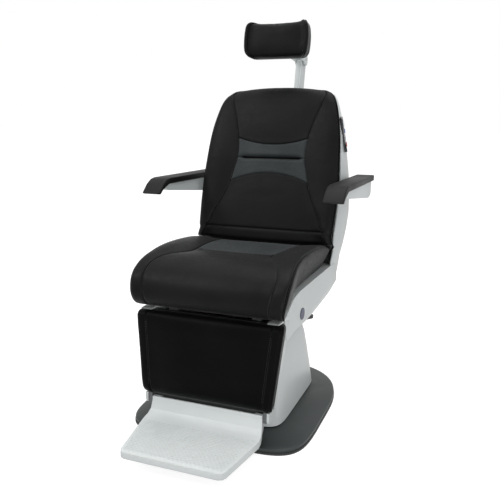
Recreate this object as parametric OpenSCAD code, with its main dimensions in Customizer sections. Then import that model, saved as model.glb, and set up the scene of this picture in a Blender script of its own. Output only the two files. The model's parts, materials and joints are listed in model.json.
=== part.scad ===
// Powered ophthalmic examination chair on a floor plate.
// It turns on the plate, a three stage column lifts it, the seat with its rigid leg rest
// tilts back and the backrest reclines. Arms, foot rest and head rest move too.
// +Z is up and the sitter faces -Y. The origin is on the floor, on the swivel axis.

/* [Floor plate] */
// Width of the floor cover
base_w = 602; // [560:1:640]
// Reach of the floor cover in front of the swivel axis
base_front = 333; // [320:1:380]
// Reach of the floor cover behind the swivel axis
base_rear = 335; // [320:1:360]
// Height of the floor cover
base_h = 22; // [20:1:24]
// Thickness of the steel floor plate
plate_t = 10; // [8:1:12]

/* [Column] */
// Width of the shroud at its foot
shroud_w = 400; // [385:1:420]
// Depth of the shroud at its foot
shroud_d = 436; // [425:1:450]
// Height of the shroud, foot to top
shroud_h = 286; // [280:1:290]
// Outside width of the lowest column tube
column_w = 150; // [140:1:160]
// Travel of the lift
lift_stroke = 220; // [120:1:225]

/* [Seat] */
// Distance of the recline axis behind the swivel axis
hip_y = 238; // [230:1:246]
// Height of the recline axis
hip_z = 400; // [398:1:412]
// Radius of the round rear end of the side panels
hip_r = 60; // [57:1:62]
// Length of the side panels, recline axis to beak
panel_len = 546; // [530:1:560]
// Width over the side panels at the recline axis
panel_w = 492; // [480:1:500]
// Thickness of the seat cushion at its crest
seat_pad_h = 118; // [100:1:130]
// Width of the seat cushion
seat_pad_w = 520; // [500:1:530]

/* [Leg rest] */
// Length of the leg rest below the beak
leg_len = 303; // [280:1:306]
// Thickness of the leg rest cushion
leg_pad_t = 55; // [40:1:60]
// Width of the leg rest cushion at its top
leg_pad_w = 488; // [470:1:500]
// Length of the foot rest
foot_len = 249; // [220:1:270]
// Thickness of the foot rest at its root
foot_t = 22; // [18:1:26]

/* [Back] */
// Length that sets the size of the backrest
back_len = 700; // [680:1:715]
// Width of the back cushion
back_pad_w = 534; // [520:1:546]
// Width of the back shell
shell_w = 526; // [524:1:530]
// Wall of the moulded shells
shell_wall = 4; // [3:0.5:5]

/* [Head rest] */
// Width of the head cushion
head_w = 244; // [200:1:280]
// Height of the head cushion
head_h = 136; // [120:1:150]
// Thickness of the head cushion
head_t = 62; // [50:1:70]
// Length of the post
post_len = 420; // [400:1:440]
// Width of the post
post_w = 24; // [20:1:28]
// Depth of the post
post_d = 58; // [50:1:62]

/* [Arms] */
// Gap between the back shell and an arm pad
arm_gap = 20; // [16:1:30]
// Length of an arm pad, nose to rear end
arm_len = 503; // [470:1:510]
// Width of an arm pad
arm_pad_w = 67; // [60:1:72]
// Thickness of an arm pad
arm_pad_t = 21; // [16:1:24]

/* [Keypads] */
// Height of a keypad
pad_h = 128; // [116:1:130]
// Width of a keypad
pad_w = 42; // [36:1:46]
// Travel of a key
key_travel = 0.8; // [0.5:0.1:1]

/* [Hidden] */
full_turn = 360;
right_angle = 90;
// overrun of cuts, gap of resting parts, gap of a shaft in its bore, gap of sliding parts
over = 1;
rest_gap = 0.3;
run_gap = 0.05;
slide_gap = 0.5;
$fn = 48;

cover_grey = "#c3c7c6";
charcoal = "#3d4341";
hide_black = "#262626";
steel = "#9aa0a3";
dark_steel = "#5b6063";
plastic_black = "#1d1d1f";

// floor plate and cover
seal_h = 8;
seal_out = 1.5;
seal_in = 7;
cover_t = 4;
cover_wall = 6;
bevel_in = 7;
bevel_h = 4;
plate_inset = 9;
front_square = 6;
rear_square = 2.6;
base_steps = 72;
anchor_x = 200;
anchor_y = 235;
anchor_r = 6.5;

// swivel bearing and turntable
ball_r = 6;
ball_gap = 0.1;
ball_count = 24;
race_r = 114;
race_half = 14;
race_h = 14;
race_split = 0.6;
ring_top = plate_t + 2 * race_h + race_split;
ball_z = plate_t + race_h + race_split / 2;
table_t = 8;
table_top = ring_top + table_t;
spindle_r = 30;
spindle_bore = 16;
nut_r = 38;
nut_h = 6;
inlet_w = 34;
inlet_h = 26;
inlet_d = 22;
foot_gap = 4;
shroud_foot = base_h + foot_gap;
shroud_top = shroud_foot + shroud_h;

// shroud: share of its height, and shares of its half width, front reach and rear reach
shroud_shares = [
    [0, 1, 1, 1], [0.26, 0.97, 0.97, 0.92], [0.54, 0.94, 0.945, 0.8], [0.75, 0.915, 0.93, 0.7],
    [0.87, 0.885, 0.9, 0.61], [0.95, 0.84, 0.86, 0.5], [0.99, 0.77, 0.78, 0.39], [1, 0.7, 0.69, 0.3]];
shroud_square = 8;
shroud_steps = 44;
inner_gap = 11;
inner_wall = 3;
inner_top = 0.78 * shroud_h;

// column stages and lift
tube_wall = 5;
column_r = 6;
drive_h = 44;
column_lap = 60;
stage_foot = 4;
mid_w = column_w - 2 * tube_wall - 2 * slide_gap;
top_w = mid_w - 2 * tube_wall - 2 * slide_gap;
head_z = table_top + drive_h + lift_stroke - 30;
head_t0 = 8;
low_top = head_z - 20;
mid_top = head_z - 10;
mid_foot = table_top + drive_h + stage_foot;
top_foot = mid_foot + stage_foot;
ram_r = 15;
ram_wall = 5;
drive_w = 110;
motor_r = 33;
motor_y = 112;
motor_h = 130;
drive_throat = 60;

// tilt pivot, crank and actuator
tilt_y = 20;
tilt_z = 362;
tilt_range = 15;
tilt_shaft_r = 12;
cheek_x = 70;
cheek_t = 10;
cheek_r = 26;
lug_gap = 3;
lug_t = 10;
lug_r = 24;
crank_x = 14;
crank_t = 8;
crank_pin_r = 5;
tilt_crank = 52;
crank_lip = 6;
tilt_motor_r = 15;
tilt_motor_len = 105;
rod_r = 8;
fork_len = 24;
tilt_pin_run = tilt_crank * tan(tilt_range / 2);
tilt_slot_w = 2 * crank_pin_r + 0.5;

// recline pivot, crank and actuator
recline_range = 45;
hip_pin_r = 8;
hip_pin_head = 12;
hip_tube_r = 20;
recline_crank = 36;
recline_ratio_share = 0.977;
recline_pin_run = recline_crank * tan(recline_range / 2) * recline_ratio_share;
recline_slot_w = 2 * crank_pin_r + 1.3;
recline_motor_len = 112;
recline_motor_h = 46;
recline_motor_w = 64;
hip_gap = 1.5;

// lock lever
lever_x = 128;
lever_y = 62;
lever_z = 276;
lever_t = 12;
lever_r = 14;
lever_reach = [62, 92];
lever_knob_r = 12;
lever_post_r = 7;
lever_strap = 34;
lever_strap_t = 8;

// seat frame, pan and panels
panel_in = 192;
frame_gap = 4;
frame_t = 8;
rail_low = 16;
rail_high = 34;
beam_d = 44;
beam_low = 396;
front_beam_share = 0.71;
rear_beam_share = 0.16;
pan_t = 12;
panel_top = hip_z + hip_r;
pan_z = panel_top - pan_t - rest_gap;
panel_front_w = 452;
panel_steps = 24;
// outline of the seat part of a side panel: share of its length, height in hip radii
panel_top_shares = [
    [0.2, 0.985], [0.4, 0.96], [0.55, 0.925], [0.66, 0.9], [0.715, 0.84], [0.775, 0.68], [0.83, 0.4],
    [0.87, 0.16], [0.9, 0.09], [0.94, 0.06], [0.985, 0.075], [1, 0.06], [0.99, 0.01], [0.94, -0.03],
    [0.9, -0.045]];
panel_low_shares = [
    [0.87, -1.1], [0.84, -1.17], [0.8, -1.16], [0.74, -1.05], [0.66, -1.05], [0.56, -1.2],
    [0.44, -1.31], [0.3, -1.29], [0.12, -1.12]];
cap_r = 19;
cap_t = 4;
cap_sink = 2;
cap_share = 0.61;
cap_up_share = -0.43;
under_t = 4;
under_z = hip_z - 1.13 * hip_r;
under_gap = 2;

// leg rest, in a frame that leans forward at the foot
leg_tilt = 6.6;
knee_y = hip_y - 0.907 * panel_len;
knee_z = hip_z - 0.06 * hip_r;
strip_t = 38;
strip_foot_t = 24;
strip_top_w = 460;
foot_top_w = 370;
strip_side = 21;
strip_low_w = foot_top_w + 2 * strip_side;
leg_pad_low_w = 430;
leg_pad_drop = 4;
leg_back_t = 4;
flange_t = 6;
flange_reach = 40;
flange_corner = 12;
leg_arm_x = 140;
leg_arm_w = 30;
leg_arm_t = 8;
trim_h = 34;
trim_t = 26;
trim_side = 14;
trim_w = foot_top_w + 2 * trim_side;
foot_pin_r = 6;
foot_pin_y = 24;
foot_pin_up = 12;
foot_ear_r = 12;
foot_rise = 12;

// foot rest
foot_flare = 8;
foot_w = foot_top_w + 2 * foot_flare;
foot_tip_share = 0.81865;
foot_tip_w = foot_w * foot_tip_share;
foot_sweep_gap = 2;
foot_sweep_r = norm([foot_ear_r, foot_rise]) + foot_sweep_gap;
foot_drop = 43;
foot_root = 60;
foot_lip = 14;
foot_fall = 4;
foot_tip_t = 20;
rib_count = 22;
rib_h = 1.6;
rib_share = 0.5;
foot_ear_w = 26;
foot_corner = 16;

// seat cushion: shares of panel length back from the recline axis for the foot of a rib,
// its height in cushion heights, the same two for the rib's top, then width, seam and dish
seat_pad_shares = [
    [0.072, 0.02, 0.07, 0.2, 0.8, 0.45, 0], [0.084, 0, 0.068, 0.385, 0.9, 0.45, 0],
    [0.104, 0, 0.086, 0.555, 0.94, 0.45, 0], [0.16, 0, 0.132, 0.69, 0.955, 0.45, 0.03],
    [0.23, 0, 0.225, 0.8, 0.955, 0.44, 0.08], [0.32, 0, 0.326, 0.875, 0.955, 0.44, 0.12],
    [0.42, 0, 0.427, 0.92, 0.955, 0.44, 0.14], [0.49, 0, 0.51, 0.945, 0.957, 0.445, 0.15],
    [0.564, 0, 0.592, 0.959, 0.96, 0.465, 0.16], [0.628, 0, 0.67, 0.959, 0.96, 0.485, 0.14],
    [0.641, 0, 0.683, 0.955, 0.96, 0.49, 0.175], [0.652, 0, 0.696, 0.947, 0.962, 0.53, 0.12],
    [0.683, 0, 0.747, 0.934, 0.965, 0.63, 0.1], [0.711, 0, 0.811, 0.887, 0.972, 0.7, 0.05],
    [0.738, -0.02, 0.875, 0.82, 0.985, 0.775, 0.015], [0.766, -0.07, 0.938, 0.7, 0.995, 0.81, 0],
    [0.793, -0.13, 0.985, 0.557, 1, 0.82, 0], [0.815, -0.205, 1.02, 0.38, 0.995, 0.815, 0],
    [0.833, -0.27, 1.04, 0.167, 0.985, 0.81, 0], [0.852, -0.335, 1.048, -0.02, 0.97, 0.81, 0],
    [0.872, -0.4, 1.038, -0.2, 0.955, 0.81, 0], [0.888, -0.435, 1.011, -0.345, 0.94, 0.81, 0],
    [0.901, -0.45, 0.967, -0.435, 0.915, 0.81, 0]];

// back cushion: rib foot y and z, rib top y and z as shares of the back length from the
// recline axis, then width and seam shares
back_pad_shares = [
    [-0.023, 0.106, -0.036, 0.12, 0.84, 0.93], [0.003, 0.131, -0.041, 0.15, 0.9, 0.92],
    [0.034, 0.164, -0.062, 0.183, 0.985, 0.91], [0.067, 0.2, -0.1, 0.213, 0.99, 0.9],
    [0.093, 0.231, -0.113, 0.238, 0.973, 0.89], [0.106, 0.253, -0.113, 0.259, 0.965, 0.87],
    [0.111, 0.263, -0.106, 0.269, 0.975, 0.86], [0.117, 0.274, -0.107, 0.279, 0.977, 0.84],
    [0.136, 0.324, -0.09, 0.329, 0.985, 0.78], [0.15, 0.371, -0.073, 0.379, 0.992, 0.71],
    [0.16, 0.429, -0.051, 0.436, 0.997, 0.63], [0.164, 0.479, -0.034, 0.486, 0.998, 0.575],
    [0.167, 0.514, -0.023, 0.521, 0.995, 0.55], [0.171, 0.564, -0.009, 0.571, 0.985, 0.525],
    [0.177, 0.597, 0.001, 0.604, 0.978, 0.505], [0.183, 0.619, 0.007, 0.626, 0.974, 0.5],
    [0.187, 0.637, 0.013, 0.644, 0.97, 0.5], [0.197, 0.679, 0.027, 0.686, 0.962, 0.51],
    [0.209, 0.719, 0.04, 0.726, 0.952, 0.53], [0.223, 0.771, 0.059, 0.779, 0.93, 0.58],
    [0.234, 0.829, 0.083, 0.836, 0.898, 0.65], [0.24, 0.879, 0.106, 0.886, 0.862, 0.735],
    [0.242, 0.917, 0.127, 0.929, 0.824, 0.81], [0.243, 0.94, 0.149, 0.959, 0.78, 0.87],
    [0.241, 0.951, 0.171, 0.976, 0.728, 0.9], [0.237, 0.957, 0.192, 0.979, 0.66, 0.9],
    [0.23, 0.96, 0.212, 0.97, 0.57, 0.9]];

// back shell: height, half width share, reach of the flat side and of the crowned rear,
// both as shares of the back length behind the recline axis
shell_shares = [
    [-0.073, 0.89, -0.036, 0.067], [-0.061, 0.897, -0.01, 0.089], [-0.036, 0.913, 0.053, 0.139],
    [0, 0.92, 0.105, 0.185], [0.043, 0.925, 0.135, 0.225], [0.1, 0.937, 0.14, 0.262],
    [0.164, 0.966, 0.16, 0.315], [0.244, 0.985, 0.2, 0.36], [0.32, 0.996, 0.225, 0.39],
    [0.404, 1, 0.213, 0.406], [0.486, 1, 0.196, 0.409], [0.571, 0.989, 0.175, 0.394],
    [0.657, 0.971, 0.16, 0.367], [0.743, 0.947, 0.165, 0.342], [0.829, 0.885, 0.175, 0.322],
    [0.886, 0.844, 0.19, 0.302], [0.921, 0.806, 0.2, 0.29], [0.946, 0.764, 0.21, 0.28]];
shell_bulge = 2.5;
shell_rear_steps = 20;
lip_share = 0.72;
shell_rows = 40;
plate_back_t = 10;
plate_back_w = 370;
plate_first = 1;
plate_last = 21;
side_arm_x = 150;
side_arm_t = 22;

// arms
arm_pivot_share = [0.21, 0.452857];
arm_pivot_y = hip_y + arm_pivot_share[0] * back_len;
arm_pivot_z = hip_z + arm_pivot_share[1] * back_len;
arm_hub_r = 22;
arm_pin_r = 8;
arm_ear_x = 205;
arm_ear_t = 8;
arm_ear_r = 20;
arm_beam_w = 50;
arm_beam_gap = 9;
hub_gap = 3;
arm_nose = 84;
arm_rise = 59;
arm_top = arm_pivot_z + arm_rise;
arm_fall = 6;
nose_drop = 47;
// underside of the bracket: share of the arm length, share of the bracket height
beam_low_shares = [[0.12, 0.16], [0.17, 0.38], [0.3, 0.49], [0.5, 0.66], [0.7, 0.83], [0.88, 0.98], [0.93, 0.96],
    [0.965, 0.8], [0.975, 0.6]];
beam_h = 60;

// head rest
post_top_share = [0.545714, 1.152857];
post_top_y = hip_y + post_top_share[0] * back_len;
post_top_z = hip_z + post_top_share[1] * back_len;
post_lean = 14;
post_pin_r = 6;
housing_wall = 14;
housing_from = 275;
housing_to = 490;
strap_t = 7.5;
strap_gap = 0.5;
strap_r = 24;
link_clear = 50;
link_r = 12;
head_pivot_share = [0.197143, 1.2];
head_pivot_y = hip_y + head_pivot_share[0] * back_len;
head_pivot_z = hip_z + head_pivot_share[1] * back_len;
head_eye_r = 14;
head_pin_r = 5;
head_lean = 8;
head_plate_t = 8;
head_lug_t = 8;
head_back = 20;
head_dish = 12;
// head cushion: share of its height, thickness share, width share
head_shares = [
    [-1, 0.22, 0.74], [-0.97, 0.55, 0.84], [-0.9, 0.78, 0.91], [-0.75, 0.93, 0.965], [-0.5, 0.985, 0.99],
    [-0.2, 0.98, 1], [0.1, 0.975, 1], [0.4, 0.98, 0.985], [0.65, 0.985, 0.96], [0.82, 0.93, 0.92],
    [0.93, 0.8, 0.87], [0.98, 0.58, 0.8], [1, 0.25, 0.7]];

// keypads
keypad_t = 9;
keypad_out = 6;
keypad_share = [0.147143, 0.742857];
keypad_y = hip_y + keypad_share[0] * back_len;
keypad_z = hip_z + keypad_share[1] * back_len;
keypad_in = 15;
keypad_x = shell_w / 2 - keypad_in;
keypad_turn = 9;
keypad_lean = 10;
keypad_square = 2.4;
key_count = 4;
key_w = 20;
key_h = 16;
key_t = 5;
key_out = 1.6;
key_gap = 0.25;
key_pitch = 24;
keypad_fit = 0.3;

// Shared shapes

function signed_pow(v, e) = sign(v) * pow(abs(v), e);

// rounded plan outline with its own squareness in front and behind
function plan(half_w, front, rear, square_f, square_r, steps) = [
    for (i = [0 : steps - 1])
        let (a = full_turn * i / steps, n = sin(a) < 0 ? square_f : square_r)
            [half_w * signed_pow(cos(a), 2 / n), (sin(a) < 0 ? front : rear) * signed_pow(sin(a), 2 / n)]];

// closed skin over rings of equal count
module loft(rings) {
    n = len(rings[0]);
    last = len(rings) - 1;
    polyhedron(
        points = [for (r = rings) each r],
        faces = concat(
            [[for (i = [0 : n - 1]) i]],
            [for (j = [0 : last - 1], i = [0 : n - 1])
                let (a = j * n + i, b = j * n + (i + 1) % n) [a, a + n, b + n, b]],
            [[for (i = [n - 1 : -1 : 0]) last * n + i]]));
}

// outline in the YZ plane, extruded along X between two planes
module yz_plate(x0, x1) {
    translate([x0, 0, 0]) rotate([right_angle, 0, right_angle]) linear_extrude(x1 - x0) children();
}

module both_sides() {
    for (side = [-1, 1]) scale([side, 1, 1]) children();
}

module x_rod(r, x0, x1, y, z) {
    translate([x0, y, z]) rotate([0, right_angle, 0]) cylinder(r = r, h = x1 - x0);
}

// Floor plate, cover and swivel bearing

module base_plan(inset) {
    polygon(plan(base_w / 2 - inset, base_front - inset, base_rear - inset, front_square, rear_square, base_steps));
}

module floor_plate() color(dark_steel) difference() {
    linear_extrude(plate_t) base_plan(plate_inset);
    for (x = [-1, 1], y = [-1, 1]) translate([x * anchor_x, y * anchor_y, -over])
        cylinder(r = anchor_r, h = plate_t + 2 * over);
}

module base_cover() color(charcoal) {
    difference() {
        hull() {
            translate([0, 0, seal_h]) linear_extrude(base_h - bevel_h - seal_h) base_plan(0);
            translate([0, 0, base_h - cover_t]) linear_extrude(cover_t) base_plan(bevel_in);
        }
        translate([0, 0, -over]) linear_extrude(base_h - cover_t + over) base_plan(cover_wall);
        cylinder(r = race_r + race_half + slide_gap * 4, h = base_h + over);
        translate([0, base_rear - inlet_d - bevel_in, 0]) inlet_block(keypad_fit);
    }
}

module base_edge_seal() color(plastic_black) difference() {
    linear_extrude(seal_h - rest_gap) base_plan(-seal_out);
    translate([0, 0, -over]) linear_extrude(seal_h + over) base_plan(seal_in);
}

module race_ring(z) {
    difference() {
        translate([0, 0, z]) cylinder(r = race_r + race_half, h = race_h);
        translate([0, 0, z - over]) cylinder(r = race_r - race_half, h = race_h + 2 * over);
        rotate_extrude() translate([race_r, ball_z]) circle(r = ball_r + ball_gap);
    }
}

module swivel_ring_lower() color(steel) race_ring(plate_t);

module swivel_ring_upper() color(steel) race_ring(plate_t + race_h + race_split);

module bearing_balls() color("silver") for (i = [0 : ball_count - 1])
    rotate([0, 0, full_turn * i / ball_count]) translate([race_r, 0, ball_z]) sphere(r = ball_r);

module spindle() color(steel) difference() {
    union() {
        translate([0, 0, plate_t]) cylinder(r = spindle_r, h = table_top - plate_t);
        translate([0, 0, table_top + rest_gap]) cylinder(r = nut_r, h = nut_h);
        translate([0, 0, table_top - over]) cylinder(r = spindle_r, h = over + rest_gap);
    }
    translate([0, 0, plate_t + over]) cylinder(r = spindle_bore, h = table_top + nut_h);
}

module inlet_block(grow) {
    translate([-inlet_w / 2 - grow, -grow, base_h - cover_t - grow])
        cube([inlet_w + 2 * grow, inlet_d + 2 * grow, inlet_h + cover_t + 2 * grow]);
}

module power_inlet() color(plastic_black) translate([0, base_rear - inlet_d - bevel_in, 0]) difference() {
    inlet_block(0);
    translate([-inlet_w / 2 + cover_t, inlet_d - inlet_d / 2, base_h + cover_t])
        cube([inlet_w - 2 * cover_t, inlet_d, inlet_h - 2 * cover_t]);
}

// Turntable, column and lift

function shroud_size(share, k) = lookup(share, [for (s = shroud_shares) [s[0], s[k]]]);

function shroud_ring(share, inset) =
    let (z = shroud_foot + share * shroud_h,
         ring = plan(shroud_w / 2 * shroud_size(share, 1) - inset, shroud_d / 2 * shroud_size(share, 2) - inset,
                     shroud_d / 2 * shroud_size(share, 3) - inset, shroud_square, shroud_square, shroud_steps))
    [for (p = ring) [p[0], p[1], z]];

module shroud_plate(z, t, inset) {
    share = (z + t - shroud_foot) / shroud_h;
    translate([0, 0, z]) linear_extrude(t) polygon([for (p = shroud_ring(share, inset)) [p[0], p[1]]]);
}

module turntable_plate() color(dark_steel) difference() {
    shroud_plate(ring_top, table_t, inner_gap);
    translate([0, 0, ring_top - over]) cylinder(r = spindle_r + run_gap, h = table_t + 2 * over);
}

module square_tube(w, wall, z0, z1) {
    difference() {
        translate([-w / 2, -w / 2, z0]) cube([w, w, z1 - z0]);
        translate([-w / 2 + wall, -w / 2 + wall, z0 - over]) cube([w - 2 * wall, w - 2 * wall, z1 - z0 + 2 * over]);
    }
}

module column_lower() color(steel) difference() {
    square_tube(column_w, tube_wall, table_top, low_top);
    translate([-drive_throat / 2 - slide_gap, -column_w, table_top - over])
        cube([drive_throat + 2 * slide_gap, column_w, drive_h + over + slide_gap]);
}

module column_middle() color(steel) square_tube(mid_w, tube_wall, mid_foot, mid_top);

module column_upper() color(steel) square_tube(top_w, tube_wall, top_foot, head_z);

module lift_actuator() color(dark_steel) {
    difference() {
        union() {
            translate([-drive_w / 2, -drive_w / 2, table_top]) cube([drive_w, drive_w, drive_h]);
            translate([-drive_throat / 2, -motor_y, table_top]) cube([drive_throat, motor_y, drive_h]);
            translate([0, -motor_y, table_top]) cylinder(r = motor_r, h = drive_h + motor_h);
            cylinder(r = ram_r + 2 * ram_wall + 2 * slide_gap, h = low_top);
        }
        translate([0, 0, -over]) cylinder(r = nut_r + over, h = table_top + nut_h + 2 * over);
        translate([0, 0, table_top + drive_h]) cylinder(r = ram_r + ram_wall + slide_gap, h = head_z);
    }
}

module lift_tube_middle() color(steel) difference() {
    translate([0, 0, mid_foot]) cylinder(r = ram_r + ram_wall, h = mid_top - mid_foot);
    translate([0, 0, mid_foot - over]) cylinder(r = ram_r + slide_gap, h = mid_top - mid_foot + 2 * over);
}

module lift_ram() color("silver") translate([0, 0, top_foot]) cylinder(r = ram_r, h = head_z - top_foot);

module inner_shroud() color(plastic_black) {
    z0 = table_top - shroud_foot;
    shares = [z0 / shroud_h, 0.26, 0.54, inner_top / shroud_h];
    difference() {
        loft([for (s = shares) shroud_ring(s, inner_gap)]);
        loft([for (s = [shares[0] - over / shroud_h, shares[1], shares[2], shares[3] + over / shroud_h])
            shroud_ring(s, inner_gap + inner_wall)]);
    }
}

// Carriage: head plate, shroud, tilt drive, lock lever

module cheek(x, r) {
    yz_plate(x, x + cheek_t) polygon([
        [tilt_y - 2 * r, head_z + head_t0], [tilt_y - r, tilt_z], [tilt_y + r, tilt_z],
        [tilt_y + 2 * r, head_z + head_t0]]);
    x_rod(r, x, x + cheek_t, tilt_y, tilt_z);
}

module carriage_head() color(dark_steel) difference() {
    union() {
        difference() {
            shroud_plate(head_z, head_t0, shell_wall + rest_gap);
            lever_notch();
        }
        both_sides() cheek(cheek_x, cheek_r);
        tilt_bracket();
        translate([lever_x - lever_strap, lever_y - lever_strap, head_z + head_t0])
            cube([lever_strap + lever_r, lever_strap + lever_r, lever_strap_t]);
    }
    x_rod(tilt_shaft_r + run_gap, -cheek_x - 2 * cheek_t, cheek_x + 2 * cheek_t, tilt_y, tilt_z);
    translate([lever_x, lever_y, head_z - over])
        cylinder(r = lever_post_r + run_gap, h = head_t0 + lever_strap_t + 2 * over);
}

// room for the lever's hub and for the sweep of its arm
module lever_notch() {
    translate([lever_x, lever_y, head_z - over]) linear_extrude(head_t0 + 2 * over) {
        circle(r = lever_r + over);
        rotate(atan2(lever_reach[1], lever_reach[0])) polygon([
            [0, -lever_r - over], [lever_reach[0], -lever_reach[0]], [2 * lever_reach[0], -lever_reach[1]],
            [2 * lever_reach[0], lever_reach[1]], [lever_reach[0], lever_reach[0]], [0, lever_r + over]]);
    }
}

tilt_pin_z = tilt_z - tilt_crank;
tilt_body_y = tilt_y - tilt_pin_run * 3 - fork_len - tilt_motor_len;

// saddle under the tilt actuator
module tilt_bracket() {
    translate([-tilt_motor_r, tilt_body_y, head_z])
        cube([2 * tilt_motor_r, tilt_motor_len / 3, tilt_pin_z - tilt_motor_r + over - head_z]);
}

module tilt_actuator() color(plastic_black) difference() {
    union() {
        translate([0, tilt_body_y, tilt_pin_z]) rotate([-right_angle, 0, 0])
            cylinder(r = tilt_motor_r, h = tilt_motor_len);
    }
    translate([0, tilt_body_y + fork_len, tilt_pin_z]) rotate([-right_angle, 0, 0])
        cylinder(r = rod_r + run_gap, h = tilt_motor_len);
    translate([-2 * tilt_motor_r, tilt_body_y - over, tilt_pin_z - 2 * tilt_motor_r])
        cube([4 * tilt_motor_r, tilt_motor_len / 3 + 2 * over, tilt_motor_r + over + rest_gap]);
}

// rod with a cross pin; y is the pin's place at rest
module drive_rod(y0, y, z) {
    translate([0, y0, z]) rotate([-right_angle, 0, 0]) cylinder(r = rod_r, h = y - y0);
    translate([-crank_x + slide_gap, y - rod_r, z - rod_r]) cube([2 * crank_x - 2 * slide_gap, 2 * rod_r, 2 * rod_r]);
    x_rod(crank_pin_r, -crank_x - crank_t - crank_lip, crank_x + crank_t + crank_lip, y, z);
}

module tilt_rod() color("silver")
    drive_rod(tilt_body_y + fork_len + 2 * tilt_pin_run + over, tilt_y + tilt_pin_run, tilt_pin_z);

module tilt_shaft() color("silver")
    x_rod(tilt_shaft_r, -cheek_x - cheek_t - lug_gap - lug_t - over, cheek_x + cheek_t + lug_gap + lug_t + over, tilt_y, tilt_z);

module outer_shroud() color(cover_grey) difference() {
    loft([for (s = shroud_shares) shroud_ring(s[0], 0)]);
    loft([for (s = [-over / shroud_h, 0.26, 0.54, 0.75, 0.87, 0.95, 0.975]) shroud_ring(s, shell_wall)]);
    translate([-cheek_x - 2 * cheek_t, tilt_y - 3 * cheek_r, head_z + head_t0])
        cube([2 * cheek_x + 4 * cheek_t, 5 * cheek_r, shroud_h]);
    translate([-tilt_motor_r - over, tilt_body_y - 2 * over, head_z + head_t0])
        cube([2 * tilt_motor_r + 2 * over, tilt_motor_len, shroud_h]);
    lever_slot();
}

module lever_slot() {
    translate([lever_x, lever_y, lever_z - over])
        cylinder(r = norm(lever_reach) - lever_knob_r, h = lever_t + 2 * over);
}

module swivel_lock_lever() color(plastic_black) {
    translate([lever_x, lever_y, lever_z]) {
        cylinder(r = lever_r, h = lever_t);
        cylinder(r = lever_post_r, h = head_z + head_t0 - lever_z + lever_t);
        hull() {
            cylinder(r = lever_r / 2, h = lever_t, $fn = 24);
            translate(lever_reach) cylinder(r = lever_knob_r, h = lever_t, $fn = 32);
        }
    }
}

// Seat frame, pan, panels and cover

module slot_cut(len0, len1, w) {
    hull() {
        translate([0, -len0]) circle(d = w, $fn = 32);
        translate([0, -len1]) circle(d = w, $fn = 32);
    }
}

// crank plate that hangs from a pivot with a radial slot; angle from straight down, rearward
module crank(x, y, z, arm, angle, slot_w, r) {
    yz_plate(x, x + crank_t) translate([y, z]) rotate([0, 0, angle]) difference() {
        union() {
            circle(r = r);
            translate([-slot_w / 2 - crank_lip, -arm / cos(angle) - over])
                square([slot_w + 2 * crank_lip, arm / cos(angle) + over]);
            translate([0, -arm / cos(angle) - over]) circle(r = slot_w / 2 + crank_lip);
        }
        slot_cut(arm - over / 2, arm / cos(angle) + over / 2, slot_w);
    }
}

module frame_beam(y, w) {
    translate([-w, y - beam_d / 2, beam_low]) cube([2 * w, beam_d, pan_z - beam_low]);
}

frame_x = panel_in - frame_gap - frame_t;
front_beam_y = hip_y - front_beam_share * panel_len;
rear_beam_y = hip_y - rear_beam_share * panel_len;

module seat_frame() color(dark_steel) difference() {
    union() {
        both_sides() yz_plate(frame_x, frame_x + frame_t) polygon([
            [hip_y, hip_z - rail_high / 2], [hip_y + rail_high / 2, hip_z], [hip_y, hip_z + rail_high / 2],
            [hip_y - 2 * rail_high, pan_z - over], [front_beam_y - beam_d / 2, pan_z - over],
            [front_beam_y - beam_d / 2, hip_z - rail_low], [hip_y - 2 * rail_high, hip_z - rail_low]]);
        both_sides() x_rod(rail_high, frame_x, frame_x + frame_t, hip_y, hip_z);
        for (y = [tilt_y, rear_beam_y, front_beam_y]) frame_beam(y, frame_x + over);
        both_sides() {
            tilt_lug(cheek_x + cheek_t + lug_gap);
            crank(crank_x, tilt_y, tilt_z, tilt_crank, tilt_range / 2, tilt_slot_w, lug_r);
            translate([crank_x, tilt_y - lug_r / 2, tilt_z + lug_r / 2])
                cube([crank_t + over, lug_r, beam_low + over - tilt_z - lug_r / 2]);
            leg_arm();
        }
    }
    x_rod(tilt_shaft_r + run_gap, -frame_x + beam_d, frame_x - beam_d, tilt_y, tilt_z);
    both_sides() x_rod(hip_pin_r + run_gap, frame_x - over, frame_x + frame_t + over, hip_y, hip_z);
}

module tilt_lug(x) {
    yz_plate(x, x + lug_t) translate([tilt_y, tilt_z]) {
        circle(r = lug_r);
        translate([-lug_r * 0.9, 0]) square([lug_r * 1.8, beam_low + over - tilt_z]);
    }
}

module leg_frame() {
    translate([0, knee_y, knee_z]) rotate([-leg_tilt, 0, 0]) children();
}

module leg_arm() {
    leg_frame() translate([leg_arm_x - leg_arm_w / 2 + over, 0, -leg_len + foot_pin_up])
        cube([leg_arm_w - 2 * over, leg_arm_t, leg_len - foot_pin_up]);
    translate([leg_arm_x - leg_arm_w / 2, knee_y + over, hip_z - rail_low])
        cube([leg_arm_w, front_beam_y - knee_y, rail_low + 2 * over]);
}

module seat_pan() color("#b99b6b") translate([-panel_in + frame_gap, front_beam_y, pan_z])
    cube([2 * (panel_in - frame_gap), hip_y - hip_r - beam_d / 2 - front_beam_y, pan_t]);

module foot_pins(r) {
    both_sides() leg_frame()
        x_rod(r, foot_top_w / 2 - foot_ear_w, foot_top_w / 2 + leg_arm_t, -foot_pin_y, -leg_len + foot_pin_up);
}

module seat_pins() color("silver") {
    both_sides() x_rod(hip_pin_r, side_arm_x, frame_x + frame_t, hip_y, hip_z);
    both_sides() x_rod(hip_pin_head, frame_x + frame_t, frame_x + frame_t + frame_gap - rest_gap, hip_y, hip_z);
    foot_pins(foot_pin_r);
}

function panel_point(p) = [hip_y - p[0] * panel_len, hip_z + p[1] * hip_r];

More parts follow.
